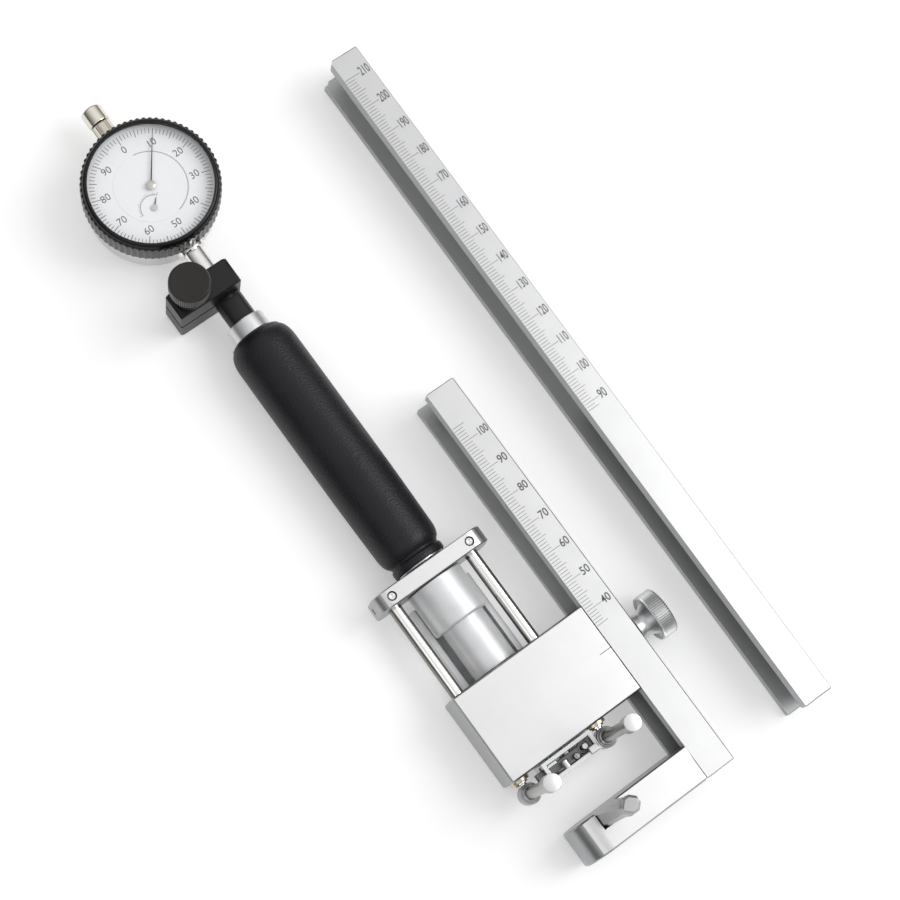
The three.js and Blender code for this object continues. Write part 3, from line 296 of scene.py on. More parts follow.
def engraved(name, lines, top):
    """Thin filled strips; a line is x and y of its middle, length, width and turn."""
    if bpy.context.mode != "OBJECT":
        bpy.ops.object.mode_set(mode="OBJECT")
    bpy.ops.object.select_all(action="DESELECT")
    bpy.ops.mesh.primitive_cube_add(size=mm)
    piece = bpy.context.object
    piece.name = piece.data.name = name
    bpy.ops.object.mode_set(mode="EDIT")
    bpy.ops.mesh.delete(type="VERT")
    for x, y, length, width, angle in lines:
        bpy.ops.mesh.primitive_cube_add(size=mm, location=Vector((x, y, top)) * mm,
                                        rotation=(0, 0, angle), scale=(length, width, 0.03))
    bpy.ops.object.mode_set(mode="OBJECT")
    return piece


satin = lined_metal("satin_steel", (0.75, 0.75, 0.75), 0.34, "x")
# A darker copy of the satin steel for upright faces: painted shade on the sides.
satin_painted_shade_side = lined_metal("satin_steel_painted_shade", (0.44, 0.445, 0.45), 0.36, "x")
ink, wire = new_finish("engraving_black")
worn = wire.node("TexNoise", {}, {"Vector": wire.node("TexCoord", output="Object"),
                                  "Scale": 2500.0, "Detail": 2.0})
shade(wire, {"Base Color": blend(wire, worn, (0.02, 0.02, 0.022), (0.17, 0.17, 0.17)),
             "Roughness": worn * 0.2 + 0.5})

block_top, block_right, bar_left = 19.5, 28.5, 28.8
block = machined("block", "carriage_block", 0.15)
# Its upright faces get the darker copy as painted shade.
finish_faces(block, (satin, always), (satin_painted_shade_side, upright))
settle(block, satin, "frame", "satin_steel", "carriage_block")
index = engraved("index_line", [(26.6, 0, 3.8, 0.2, 0)], block_top)
settle(index, ink, "frame", "satin_steel")


# The guide bushes: bronze sleeves pressed into the block, two at the front with a collar that
# shows under the pins, and two at the back.
def spun(name, axis, centre, profile, steps=64):
    """Spins a profile of radius and place along the axis, both in millimetres, about it."""
    along = Vector([letter == axis for letter in "xyz"])
    out = Vector((0, 0, 1)) if axis == "x" else Vector((1, 0, 0))
    middle = Vector(centre) * mm
    points = [middle + out * r * mm + along * a * mm for r, a in profile]
    if bpy.context.mode != "OBJECT":
        bpy.ops.object.mode_set(mode="OBJECT")
    bpy.ops.object.select_all(action="DESELECT")
    bpy.ops.mesh.primitive_plane_add(size=mm, location=points[0])
    piece = bpy.context.object
    piece.name = piece.data.name = name
    bpy.ops.object.mode_set(mode="EDIT")
    bpy.ops.mesh.select_mode(type="VERT")
    bpy.ops.mesh.select_all(action="SELECT")
    bpy.ops.mesh.merge(type="CENTER")
    for here, there in zip(points, points[1:]):
        bpy.ops.mesh.extrude_region_move(TRANSFORM_OT_translate={"value": there - here})
    bpy.ops.mesh.select_all(action="SELECT")
    bpy.ops.mesh.spin(steps=steps, angle=math.tau, center=middle, axis=along)
    bpy.ops.mesh.select_all(action="SELECT")
    bpy.ops.mesh.remove_doubles(threshold=0.002 * mm)
    bpy.ops.mesh.normals_make_consistent(inside=False)
    bpy.ops.object.mode_set(mode="OBJECT")
    return piece


bronze = lined_metal("turned_brass", (0.72, 0.64, 0.46), 0.34, "Y")
axis_height, column_spread = 10.2, 13.7
for hand, x in (("left", -column_spread), ("right", column_spread)):
    for end, sign, tip in (("front", -1, 15.8), ("rear", 1, 14.6)):
        sleeve = spun(f"guide_{end}_{hand}", "y", (x, 0, axis_height),
                      [(r, sign * a) for r, a in ((2.3, 5.6), (3, 5.6), (3, tip - 0.4),
                                                  (2.85, tip - 0.1), (2.6, tip), (2.3, tip),
                                                  (2.3, 5.6))], 48)
        settle(sleeve, bronze, "frame", "brass", f"{end}_bush_{hand}")

# The two columns: hard chromed rods that slide through the block. They are fixed in the top
# plate, and end in a spigot inside the measuring pins.
chrome = lined_metal("chromed_rod", (0.88, 0.87, 0.85), 0.13, "Y", relief=0.12, spread=0.06)
# The rods' chrome turns brown-black towards their flanks, left and right of each axis, broken up
# by streaks: painted shade on the sides of the round rods.
rod_flank_painted_shade, wire = new_finish("chromed_rod_painted_flank_shade")
place = wire.node("TexCoord", output="Object")
aside = wire.sum("ABSOLUTE", wire.sum("ABSOLUTE", wire.node("SeparateXYZ", {}, {0: place}))
                 - column_spread * mm) * (1 / (2 * mm))
drawn = wire.node("Mapping", {}, {"Vector": place, "Scale": (1800, 40, 1800)})
streaks = wire.node("TexNoise", {}, {"Vector": drawn, "Scale": 1.0, "Detail": 3.0})
# Painted shade on the flanks of the rods.
flank_shade_mask = wire.node("MapRange", {"interpolation_type": "SMOOTHSTEP"},
                  {0: aside + streaks * 0.7, 1: 0.85, 2: 1.15, 3: 0.0, 4: 0.85})
shade(wire, {"Base Color": blend(wire, flank_shade_mask, (0.88, 0.87, 0.85), (0.1, 0.09, 0.075)),
             "Metallic": 1.0, "Roughness": streaks * 0.1 + 0.1,
             "Normal": wire.node("Bump", {}, {"Strength": 0.12, "Distance": 8e-6,
                                              "Height": streaks})})
for hand, x in (("left", -column_spread), ("right", column_spread)):
    rod = spun(f"column_rod_{hand}", "y", (x, 0, axis_height),
               [(0, -19.3), (1.2, -19.3), (1.2, -16.4), (1.8, -16.4), (2, -16.2), (2, 50.1),
                (1.8, 50.3), (0, 50.3)], 64)
    settle(rod, rod_flank_painted_shade, "head", "chrome", f"column_{hand}")

# The telescope between block and plate: a fixed post and a saddle under it, both matt chromed
# castings, and the sleeve that slides over the post with the plate.
matt, wire = new_finish("matt_chromed_casting")
place = wire.node("TexCoord", output="Object")
sand = wire.node("TexNoise", {}, {"Vector": place, "Scale": 3200.0, "Detail": 2.0})
clouds = wire.node("TexNoise", {}, {"Vector": place, "Scale": 160.0, "Detail": 3.0})
shade(wire, {"Base Color": blend(wire, clouds, (0.62, 0.63, 0.64), (0.8, 0.805, 0.81)),
             "Metallic": 0.55, "Roughness": sand * 0.12 + 0.4,
             "Normal": wire.node("Bump", {}, {"Strength": 0.35, "Distance": 1e-5,
                                              "Height": sand})})
post = spun("telescope_post", "y", (0, 0, axis_height),
            [(1.7, 14.9), (7, 14.9), (7, 41.2), (6.8, 41.6), (6.4, 41.8), (5, 41.8), (5, 15.5),
             (1.7, 15.5), (1.7, 14.9)], 96)
settle(post, matt, "frame", "satin_steel", "spring_post")
saddle = machined("sleeve_saddle", "sleeve_cradle", 0.2)
settle(saddle, matt, "frame", "satin_steel", "sleeve_cradle")
barrel = spun("telescope_sleeve", "y", (0, 0, axis_height),
              [(7.3, 31), (7.9, 31), (8.5, 31.15), (8.87, 31.5), (9, 32.1), (9, 44.9),
               (8.8, 45.1), (7.3, 45.1), (7.3, 31)], 96)
settle(barrel, matt, "head", "satin_steel", "outer_sleeve")

# The top plate ties columns, sleeve and handle together. It is a milled bar with rounded ends,
# and a chromed grub screw holds each column.
plate = machined("tie_plate", "top_plate", 0.3, 3)
# Its upright faces get the darker copy as painted shade.
finish_faces(plate, (satin, always), (satin_painted_shade_side, upright))
settle(plate, satin, "head", "satin_steel", "top_plate")
plate_y = 48
for hand, x in (("left", -column_spread), ("right", column_spread)):
    screw = spun(f"grub_screw_{hand}", "z", (x, plate_y, 0),
                 [(0, 12.5), (1.15, 12.5), (1.15, 18.8), (0.95, 19), (0.6, 19), (0.55, 18.1),
                  (0, 17.9)], 40)
    settle(screw, chrome, "head", "chrome", f"column_set_screw_{hand}")

# The measuring pins: turned and hardened, with a stepped foot on the column's spigot, a long
# neck and a wide head that feels the wall of the bore.
# A darker turned steel for the pins' necks and feet and for the stop's button: painted shade.
shaded_turned_steel = lined_metal("turned_steel_painted_shade", (0.36, 0.365, 0.36), 0.3, "Z")
pin_y, pin_top = -19.8, 51.5


def pin_end(centre, normal):
    return centre.z > pin_top - 0.2


for hand, x in (("left", -column_spread), ("right", column_spread)):
    pin = spun(f"feeler_pin_{hand}", "z", (x, pin_y, 0),
               [(0, 6.8), (2.7, 6.8), (3.1, 7.2), (3.1, 12.6), (2.9, 13), (2.55, 13.1),
                (2.55, 13.9), (2.4, 14.1), (1.9, 14.3), (1.75, 15.2), (1.75, 41.6), (1.9, 42.2),
                (2.4, 44.4), (2.5, 45.1), (2.5, 51.3), (2.4, 51.45), (2.25, 51.5), (0, 51.5)],
               64)
    # Each pin's flat end gets the bright satin steel as its lit face, and the rest gets the
    # darker steel as painted shade.
    finish_faces(pin, (shaded_turned_steel, always), (satin, pin_end))
    settle(pin, shaded_turned_steel, "head", "chrome", f"measuring_pin_{hand}", smooth=25)

# The stop in front of the block: a small open box with an oiled steel lever that turns on a
# pin. A clip closes its corner, and a rest, a roller and a button lie over the lever.
bright = lined_metal("bright_steel", (0.74, 0.745, 0.75), 0.27, "x")
oiled_steel = lined_metal("oiled_steel", (0.17, 0.17, 0.175), 0.36, "x", shine=0.8)
bracket = machined("stop_box", "stop_bracket", 0.12)
settle(bracket, bright, "frame", "bright_steel", "stop_bracket")
lever = machined("stop_lever_bar", "stop_lever", 0.15)
settle(lever, oiled_steel, "stop_lever", "blackened_steel", "stop_lever")
dress(bright, "stop_pivot_pin", "bracket_screw_1", "bracket_screw_2")


def small_block(name, low, high, edge):
    """A small milled block between two corners, with rounded edges."""
    low, high = Vector(low) * mm, Vector(high) * mm
    bpy.ops.object.select_all(action="DESELECT")
    bpy.ops.mesh.primitive_cube_add(size=1, location=(low + high) / 2, scale=high - low)
    piece = bpy.context.object
    piece.name = piece.data.name = name
    bpy.ops.object.transform_apply(location=True, rotation=True, scale=True)
    edge_break(piece, edge, 4)
    return piece


clip = small_block("stop_clip", (5.8, -21.2, 19.35), (8.9, -19.0, 20.1), 0.35)
settle(clip, satin, "frame", "bright_steel")
rest = small_block("stop_rest", (-6.4, -17.25, 16.4), (-3.4, -16.2, 18.6), 0.25)
settle(rest, bright, "frame", "bright_steel")
stop_y = -19
roller = spun("stop_roller", "y", (-1.5, stop_y, 18),
              [(0, -1.3), (1, -1.3), (1.2, -1.1), (1.2, 1.1), (1, 1.3), (0, 1.3)], 40)
settle(roller, satin, "frame", "bright_steel")
button = spun("stop_button", "z", (2.4, stop_y, 0),
              [(0, 16.4), (1, 16.4), (1, 17.7), (0.8, 18), (0.25, 18.05), (0, 17.85)], 40)
settle(button, shaded_turned_steel, "frame", "bright_steel")

# The scale bar: an anodised channel that slides on the block's tongue. The arm is let into its
# end and held by two screws, and carries the anvil.
anodised = lined_metal("satin_chrome", (0.66, 0.662, 0.668), 0.34, "y", spread=0.14)
# A darker copy of the satin chrome for upright faces: painted shade on the sides.
anodised_painted_shade_side = lined_metal("satin_chrome_painted_shade", (0.4, 0.405, 0.41), 0.36, "y")
# A darker metal for the faces inside the channels: painted shade in the recess.
channel_painted_shade = lined_metal("channel_recess_painted_shade", (0.5, 0.505, 0.51), 0.4, "y", shine=0.8)
bar = machined("short_channel", "scale_bar", 0.12)
bar_lip, channel_floor, channel_roof, channel_depth = 1.1, 3, 14.5, 8.5


# Faces inside a channel, which get the darker metal as painted shade.
def in_channel(left):
    """A test for the faces inside a channel whose open edge is at left."""
    def test(centre, normal):
        return (channel_floor - 0.05 < centre.z < channel_roof + 0.05
                and left + 0.2 < centre.x < left + channel_depth)
    return test


# Upright faces get the darker copy as painted shade.
finish_faces(bar, (anodised, always), (anodised_painted_shade_side, upright),
             (channel_painted_shade, in_channel(bar_left - bar_lip)))
settle(bar, anodised, "bar", "satin_aluminium", "scale_bar")

# The arm's shoulder meets the bar in a fine line, and the anvil's head is a fifth narrower than
# its solid.
arm = machined("anvil_arm", "fixed_arm", 0.25, 3)
arm_gap = 0.24
pick(arm, lambda place: -0.001 < place.x - block_right < 0.3)
bpy.ops.transform.translate(value=(arm_gap * mm, 0, 0))
bpy.ops.object.mode_set(mode="OBJECT")
# Its upright faces get the darker copy as painted shade.
finish_faces(arm, (satin, always), (anodised_painted_shade_side, upright))
settle(arm, anodised, "bar", "satin_aluminium", "fixed_arm")
anvil = machined("anvil_blade", "fixed_anvil", 0.2)
anvil_y, anvil_head, narrowing = -37, 45, 0.8
pick(anvil, lambda place: place.z > anvil_head)
bpy.ops.transform.resize(value=(narrowing, narrowing, 1),
                         center_override=Vector((0, anvil_y, anvil_head)) * mm)
bpy.ops.object.mode_set(mode="OBJECT")
ground = lined_metal("ground_steel", (0.42, 0.425, 0.42), 0.36, "z")
settle(anvil, ground, "bar", "bright_steel", "fixed_anvil", smooth=30)
dress(bright, "arm_screw_1", "arm_screw_2")


# Its graduations: a line for each millimetre, longer at five and ten, and a number at each ten,
# engraved and filled with black.
def scale_lines(left, zero, first, last):
    """A line for each millimetre of the scale from first to last."""
    for value in range(first, last + 1):
        length = 5.2 if value % 10 == 0 else 3.9 if value % 5 == 0 or value == first else 2.9
        yield left + 0.25 + length / 2, zero + value, length, 0.14, 0


def numbers(name, words, size, top, squeeze=1.0, weight=0.0, narrow=1.0):
    """Numbers as thin solids: text, x and y of the left middle, in millimetres."""
    parts = []
    for text, x, y in words:
        take(table)
        bpy.ops.object.text_add(location=Vector((x, y, top)) * mm)
        word = bpy.context.object
        word.data.body, word.data.size, word.data.resolution_u = text, size * mm, 3
        word.data.align_y, word.data.extrude = "CENTER", 0.015 * mm
        word.data.offset = weight * mm
        word.scale = (squeeze * (narrow if len(text) > 2 else 1), 1, 1)
        bpy.ops.object.convert(target="MESH")
        parts.append(bpy.context.object)
    take(parts[0])
    for part in parts:
        part.select_set(True)
    bpy.ops.object.join()
    piece = bpy.context.object
    piece.name = piece.data.name = name
    return piece


short_zero, bar_top = -28.0, 19.5
lines = engraved("short_scale_lines", scale_lines(bar_left, short_zero, 35, 105), bar_top)
settle(lines, ink, "bar", "satin_aluminium")
figures = numbers("short_scale_numbers",
                  [(str(n), bar_left + 5.7, short_zero + n + 0.1) for n in range(40, 101, 10)],
                  3.6, bar_top, 0.82, 0.05, 0.78)
settle(figures, ink, "bar", "satin_aluminium")

# The bar's clamp: a turned knob with a straight-knurled rim and a smooth flared neck, over a
# washer on the far side of the bar.
bar_clamp_z = 8.75
washer = spun("bar_washer", "x", (38.7, 0, bar_clamp_z),
              [(2.2, 0), (4.8, 0), (5, 0.2), (5, 1), (4.8, 1.2), (2.2, 1.2), (2.2, 0)], 64)
settle(washer, bright, "bar_clamp_pad", "bright_steel", "bar_clamp_washer")


def knurl(piece, axis, centre, radius, low, high, teeth, depth, rim=0.05):
    """Presses in every second pair of columns on the rim, between two places on the axis."""
    place = "xyz".index(axis)
    first, second = ((1, 2), (0, 2), (0, 1))[place]
    middle = Vector(centre) * mm
    mesh = piece.data
    take(piece)
    bpy.ops.object.mode_set(mode="EDIT")
    bpy.ops.mesh.select_mode(type="VERT")
    bpy.ops.mesh.select_all(action="DESELECT")
    bpy.ops.object.mode_set(mode="OBJECT")
    for vertex in mesh.vertices:
        offset = piece.matrix_world @ vertex.co - middle
        reach = math.hypot(offset[first], offset[second])
        column = round(math.atan2(offset[second], offset[first]) / math.tau * teeth * 4)
        vertex.select = (reach > (radius - rim) * mm and column % 4 < 2
                         and low * mm < offset[place] < high * mm)
    bpy.ops.object.mode_set(mode="EDIT")
    shrink = [1 - depth / radius] * 3
    shrink[place] = 1
    bpy.ops.transform.resize(value=shrink, center_override=middle)
    bpy.ops.object.mode_set(mode="OBJECT")


cast = lined_metal("knob_steel", (0.58, 0.585, 0.59), 0.33, "X")
knob_place = (40.2, 0, bar_clamp_z)
knob = spun("bar_knob", "x", knob_place,
            [(0, -22.2), (1.9, -22.2), (1.9, 0), (4.3, 0), (4.3, 0.5), (3.9, 1.4), (3.9, 2.6),
             (4.5, 4), (5.4, 5.2), (6.3, 5.3), (6.9, 4.7), (7.2, 4.8), (7.3, 5.1), (7.3, 5.6),
             (7.3, 9.3), (7.3, 9.6), (7.1, 9.9), (6.8, 10), (5.6, 10), (5.4, 9.8), (0, 9.7)], 256)
knurl(knob, "x", knob_place, 7.3, 5.3, 9.5, 64, 0.34)
settle(knob, cast, "bar_clamp_screw", "bright_steel", "bar_clamp_knob", smooth=30)

# The longer bar of the set: the same channel with its own scale, from 88 to 210. It lies loose
# beside the gauge, a quarter of a degree askew.
long_left, long_zero, askew = 64.6, -29.25, math.radians(-0.24)
channel = machined("long_channel", "long_scale_bar", 0.12)

# The cut corner of its head is smaller than the solid's.
head, cut, cut_less = 188.4, 2.2, 1.3
pick(channel, lambda place: place.y > head - 0.4 and place.x < long_left + cut + 1.6)
bpy.ops.transform.translate(value=(-cut_less * mm, 0, 0))
pick(channel, lambda place: head - cut - 0.6 < place.y < head - 0.4 and place.x < long_left + 1.6)
bpy.ops.transform.translate(value=(0, cut_less * mm, 0))
bpy.ops.object.mode_set(mode="OBJECT")
# Upright faces get the darker copy as painted shade.
finish_faces(channel, (anodised, always), (anodised_painted_shade_side, upright),
             (channel_painted_shade, in_channel(long_left + 0.1)))
settle(channel, anodised, "long_bar", "satin_aluminium", "long_scale_bar")
lines = engraved("long_scale_lines", scale_lines(0, long_zero, 88, 210), bar_top)
figures = numbers("long_scale_numbers",
                  [(str(n), 5.5, long_zero + n + 0.1) for n in range(90, 211, 10)],
                  4.2, bar_top, 0.62, 0.04, 0.86)
for piece in (lines, figures):
    take(piece)
    bpy.ops.object.transform_apply(location=True, rotation=True, scale=True)
    piece.location = (long_left * mm, 0, 0)
    piece.rotation_euler = (0, 0, askew)
    settle(piece, ink, "long_bar", "satin_aluminium")

# The handle: a tube with a moulded grip between a foot ring and an aluminium collar. The grip
# has a fine leather grain.
grain, wire = new_finish("grained_grip")
place = wire.node("TexCoord", output="Object")
stretched = wire.node("Mapping", {}, {"Vector": place, "Scale": (1.0, 1.7, 1.0)})
cells = wire.node("TexVoronoi", {"feature": "F1"}, {"Vector": stretched, "Scale": 1150.0})
ripple = wire.node("TexNoise", {}, {"Vector": stretched, "Scale": 1900.0, "Detail": 3.0})
clouds = wire.node("TexNoise", {}, {"Vector": place, "Scale": 120.0, "Detail": 3.0})
height_map = cells * 0.8 + ripple * 0.5
shade(wire, {"Base Color": blend(wire, clouds, (0.004, 0.004, 0.006), (0.013, 0.013, 0.017)),
             "Roughness": clouds * 0.12 + ripple * 0.1 + 0.3, "Specular IOR Level": 0.3,
             "Normal": wire.node("Bump", {}, {"Strength": 0.8, "Distance": 1e-4,
                                              "Height": height_map})})


def arc(radius, place, reach_r, reach_a, start, end, count=8):
    """Points of a profile on a quarter-like curve about (radius, place)."""
    return [(radius + reach_r * math.cos(math.radians(start + (end - start) * i / count)),
             place + reach_a * math.sin(math.radians(start + (end - start) * i / count)))
            for i in range(count + 1)]


grip = spun("handle_grip", "y", (0, 0, axis_height),
            [(5.7, 52.8), (7.8, 52.8), (7.8, 51.7), (8.1, 51.4), (8.4, 51.6), (8.5, 52.1),
             (8.5, 53.3), (8.3, 53.8), (8.0, 54.0), (7.9, 54.3), (8.05, 54.7),
             *arc(7.9, 59.6, 1.9, 4.6, -75, 0), (9.95, 68), (10.1, 80), (10.1, 118),
             *arc(7.6, 127.4, 2.45, 5.6, 0, 72), (7.9, 133.5), (7.1, 134), (5.7, 134),
             (5.7, 52.8)], 128)
settle(grip, grain, "head", "grip", "grip")
foot_ring = spun("grip_foot_ring", "y", (0, 0, axis_height),
                 [(5.7, 50.9), (7.4, 50.9), (7.6, 51.1), (7.6, 52.3), (7.4, 52.5), (5.7, 52.5),
                  (5.7, 50.9)], 96)
settle(foot_ring, satin, "head", "satin_steel", "grip_ring")
collar_metal = lined_metal("collar_aluminium", (0.72, 0.725, 0.735), 0.36, "Y")
collar = spun("handle_collar", "y", (0, 0, axis_height),
              [(5.7, 134.3), (5.8, 134.3), (6, 134.5), (6, 138.9), (5.85, 139.2), (5.5, 139.3),
               (4.7, 139.3), (4.7, 137.3), (5.7, 137.3), (5.7, 134.3)], 96)
settle(collar, collar_metal, "head", "satin_steel", "grip_collar")
dress(satin, "handle_tube")
dress(bright, "push_rod")


# The return spring in the telescope, of steel wire. Its front end rests on the block and its
# far end on the tie plate. The real spring shortens as the head slides in; its copy is fastened
# to no body and keeps its length.
coils = machined("return_coils", "return_spring", 0)
settle(coils, bright, None, "bright_steel", "return_spring", smooth=60)
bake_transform(coils)


# The clamp for the indicator: a blackened neck with two flats, a split block, and a knurled
# screw that closes the split on the stem.
def blackened_metal(name, colour, roughness, ringed):
    made, wire = new_finish(name)
    place = wire.node("TexCoord", output="Object")
    specks = wire.node("TexNoise", {}, {"Vector": place, "Scale": 2400.0, "Detail": 2.0})
    clouds = wire.node("TexNoise", {}, {"Vector": place, "Scale": 220.0, "Detail": 3.0})
    relief = specks
    if ringed:
        shifted = wire.node("Mapping", {}, {"Vector": place, "Location": ringed})
        rings = wire.node("TexWave", {"wave_type": "RINGS", "rings_direction": "Z"},
                          {"Vector": shifted, "Scale": 900.0, "Distortion": 0.4})
        relief = rings * 0.6 + specks * 0.4
    shade(wire, {"Base Color": blend(wire, clouds, tuple(c * 0.6 for c in colour), colour),
                 "Specular IOR Level": 0.3, "Roughness": clouds * 0.12 + (roughness - 0.06),
                 "Normal": wire.node("Bump", {}, {"Strength": 0.4, "Distance": 1.2e-5,
                                                  "Height": relief})})
    return made


black_oxide = blackened_metal("black_oxide", (0.012, 0.012, 0.014), 0.36, None)
neck = machined("clamp_neck", "neck_adapter", 0.15)
settle(neck, black_oxide, "head", "black_paint", "neck_adapter")
jaws = machined("clamp_jaws", "clamp_body", 0.22)
settle(jaws, black_oxide, "head", "black_paint", "clamp_body")
clamp_x, clamp_y = -10.5, 152.2
blackened = lined_metal("blackened_steel", (0.045, 0.045, 0.05), 0.38, "x", shine=0.6)
washer = spun("clamp_disc", "z", (clamp_x, clamp_y, 19.9),
              [(2.2, 0), (3.8, 0), (4, 0.2), (4, 0.9), (3.8, 1.1), (2.2, 1.1), (2.2, 0)], 64)
settle(washer, blackened, "clamp_pad", "blackened_steel", "clamp_washer")
knob_place = (clamp_x, clamp_y, 21.3)
knob = spun("clamp_screw_knob", "z", knob_place,
            [(0, -17.4), (1.9, -17.4), (1.9, 0), (3.4, 0), (3.4, 7), (3.6, 7.4), (5.5, 7.4),
             (6, 7.8), (6.1, 8.1), (6.1, 13), (6.1, 13.2), (5.8, 13.7), (5.5, 13.8), (5.2, 13.75),
             (0, 13.7)], 240)
knurl(knob, "z", knob_place, 6.1, 7.9, 13.1, 60, 0.22)
settle(knob, blackened_metal("turned_black", (0.02, 0.018, 0.016), 0.34,
                             (-clamp_x * mm, -clamp_y * mm, 0)),
       "clamp_screw", "black_paint", "clamp_knob", smooth=30)

# The indicator's case: a turned cup with a screwed cover, the stem that the clamp holds, and a
# nickelled cap over the upper end of the plunger.
dial_y = 186.5
dial_centre = (0, dial_y, axis_height)
shell = lined_metal("case_steel", (0.7, 0.705, 0.71), 0.3, "Z")
case = spun("indicator_case", "z", dial_centre,
            [(15.2, -8.6), (18.2, -8.6), (18.9, -8.4), (19.25, -8), (19.4, -7.4), (19.4, 5.7),
             (17.6, 5.7), (17.6, -7.1), (15.2, -7.1), (15.2, -8.6)], 128)
settle(case, shell, "indicator", "satin_steel", "case")
cover = spun("case_cover", "z", dial_centre,
             [(0, -10.1), (17.9, -10.1), (18.4, -9.9), (18.6, -9.5), (18.6, -8.9), (0, -8.9)],
             128)
settle(cover, shell, "indicator", "satin_steel", "back_cover")
dress(bright, "back_cover_screw_1", "back_cover_screw_2", "back_cover_screw_3")
stem = spun("clamp_stem", "y", (0, 0, axis_height),
            [(1.8, 148.6), (2.9, 148.6), (3.2, 148.9), (3.2, 164.9), (4.3, 165.1), (4.4, 165.3),
             (4.4, 167.4), (1.8, 167.4), (1.8, 148.6)], 64)
settle(stem, chrome, "indicator", "chrome", "stem")
nickel = lined_metal("nickel_plate", (0.82, 0.78, 0.68), 0.2, "Y", relief=0.15, spread=0.08)
cap_place = (0, dial_y, axis_height)
cap_neck = spun("cap_neck", "y", cap_place,
                [(1.8, 19.7), (2.9, 19.7), (3, 19.9), (3, 25.8), (2.9, 26), (1.8, 26.1),
                 (1.8, 19.7)], 96)
knurl(cap_neck, "y", cap_place, 3, 19.8, 25.9, 24, 0.25)
settle(cap_neck, nickel, "indicator", "nickel", "cap_collar", smooth=25)
cap = spun("plunger_cap", "y", cap_place,
           [(2, 26.3), (3, 26.3), (3.3, 26.4), (3.4, 26.7), (3.4, 31), (3.25, 31.45), (2.9, 31.7),
            (0, 31.7), (0, 30.8), (2, 30.8), (2, 26.3)], 64)
settle(cap, nickel, "indicator", "nickel", "cap")

# The bezel: glossy black, with a coin edge to turn it by, and the crystal that it holds.
gloss, wire = new_finish("gloss_black")
place = wire.node("TexCoord", output="Object")
haze = wire.node("TexNoise", {}, {"Vector": place, "Scale": 700.0, "Detail": 3.0})
shade(wire, {"Base Color": blend(wire, haze, (0.003, 0.003, 0.003), (0.009, 0.009, 0.009)),
             "Roughness": haze * 0.14 + 0.15, "Specular IOR Level": 0.3,
             "Normal": wire.node("Bump", {}, {"Strength": 0.15, "Distance": 1e-5,
                                              "Height": haze})})
rim = spun("dial_bezel", "z", dial_centre,
           [(19.7, 2.2), (20.3, 2.2), (20.55, 2.4), (20.6, 2.6), (20.6, 9.5), (20.4, 9.9),
            (19.95, 10.0), (19.85, 10.4), (19.6, 10.85), (19.25, 11.15), (18.9, 11.3),
            (18.6, 11.25), (18.4, 10.95), (18.4, 10.5), (19.5, 10.5), (19.5, 9), (19.7, 9),
            (19.7, 2.2)], 272)
knurl(rim, "z", dial_centre, 20.6, 2.3, 9.95, 68, 0.34, 0.35)
settle(rim, gloss, "bezel", "black_plastic", "bezel", smooth=35)
clear, wire = new_finish("clear_crystal")
facing = wire.node("LayerWeight", {}, {"Blend": 0.25}, output="Facing")
scuffs = wire.node("TexNoise", {}, {"Vector": wire.node("TexCoord", output="Object"),
                                    "Scale": 400.0, "Detail": 4.0})
shade(wire, {"Base Color": rgb((0.95, 0.97, 0.98)), "Roughness": scuffs * 0.05 + 0.02,
             "Alpha": facing * 0.15 + 0.02})
crystal = spun("dial_crystal", "z", dial_centre,
               [(0, 9.3), (19.2, 9.3), (19.2, 9.9), (18.6, 10.1), (16, 10.17), (9, 10.2),
                (0, 10.2)], 96)
settle(crystal, clear, "bezel", "crystal", "crystal")

# The dial: a white ring that turns with the bezel, with a hundred lines and ten numbers, and a
# centre that stays, with the small dial that counts the turns.
face = axis_height + 7.5
lines_outer, numbers_at = 17.9, 13.4
enamel, wire = new_finish("dial_white")
place = wire.node("TexCoord", output="Object")
paint = wire.node("TexNoise", {}, {"Vector": place, "Scale": 900.0, "Detail": 2.0})
shade(wire, {"Base Color": blend(wire, paint, (0.86, 0.87, 0.895), (0.9, 0.905, 0.92)),
             "Roughness": paint * 0.1 + 0.4})
ring = spun("dial_ring", "z", dial_centre,
            [(11.01, 7), (19.2, 7), (19.2, 7.5), (11.03, 7.5), (11.01, 7.48), (11.01, 7)], 128)
settle(ring, enamel, "bezel", "dial", "dial_plate")
centre = spun("dial_middle", "z", dial_centre,
              [(0, 7.3), (10.99, 7.3), (10.99, 7.52), (10.97, 7.54), (0, 7.54)], 128)
settle(centre, enamel, "indicator", "dial")


def around(middle, radius, angle):
    """The point at an angle in degrees, clockwise from the handle's direction."""
    return (middle[0] + radius * math.sin(math.radians(angle)),
            middle[1] + radius * math.cos(math.radians(angle)))


def dial_lines():
    """A line for each hundredth of a turn, longer at five and ten."""
    for n in range(100):
        inner = 15.2 if n % 10 == 0 else 15.7 if n % 5 == 0 else 16.3
        x, y = around((0, dial_y), (inner + lines_outer) / 2, n * 3.6)
        yield x, y, lines_outer - inner, 0.16 if n % 5 else 0.2, math.radians(90 - n * 3.6)


def printing(name, colour):
    """Matt grey of one tone, for printing ink and for a painted shadow line."""
    made, wire = new_finish(name)
    speckle = wire.node("TexNoise", {}, {"Vector": wire.node("TexCoord", output="Object"),
                                         "Scale": 3000.0, "Detail": 2.0})
    shade(wire, {"Base Color": blend(wire, speckle, (colour * 0.8,) * 3, (colour * 1.3,) * 3),
                 "Roughness": speckle * 0.15 + 0.45})
    return made


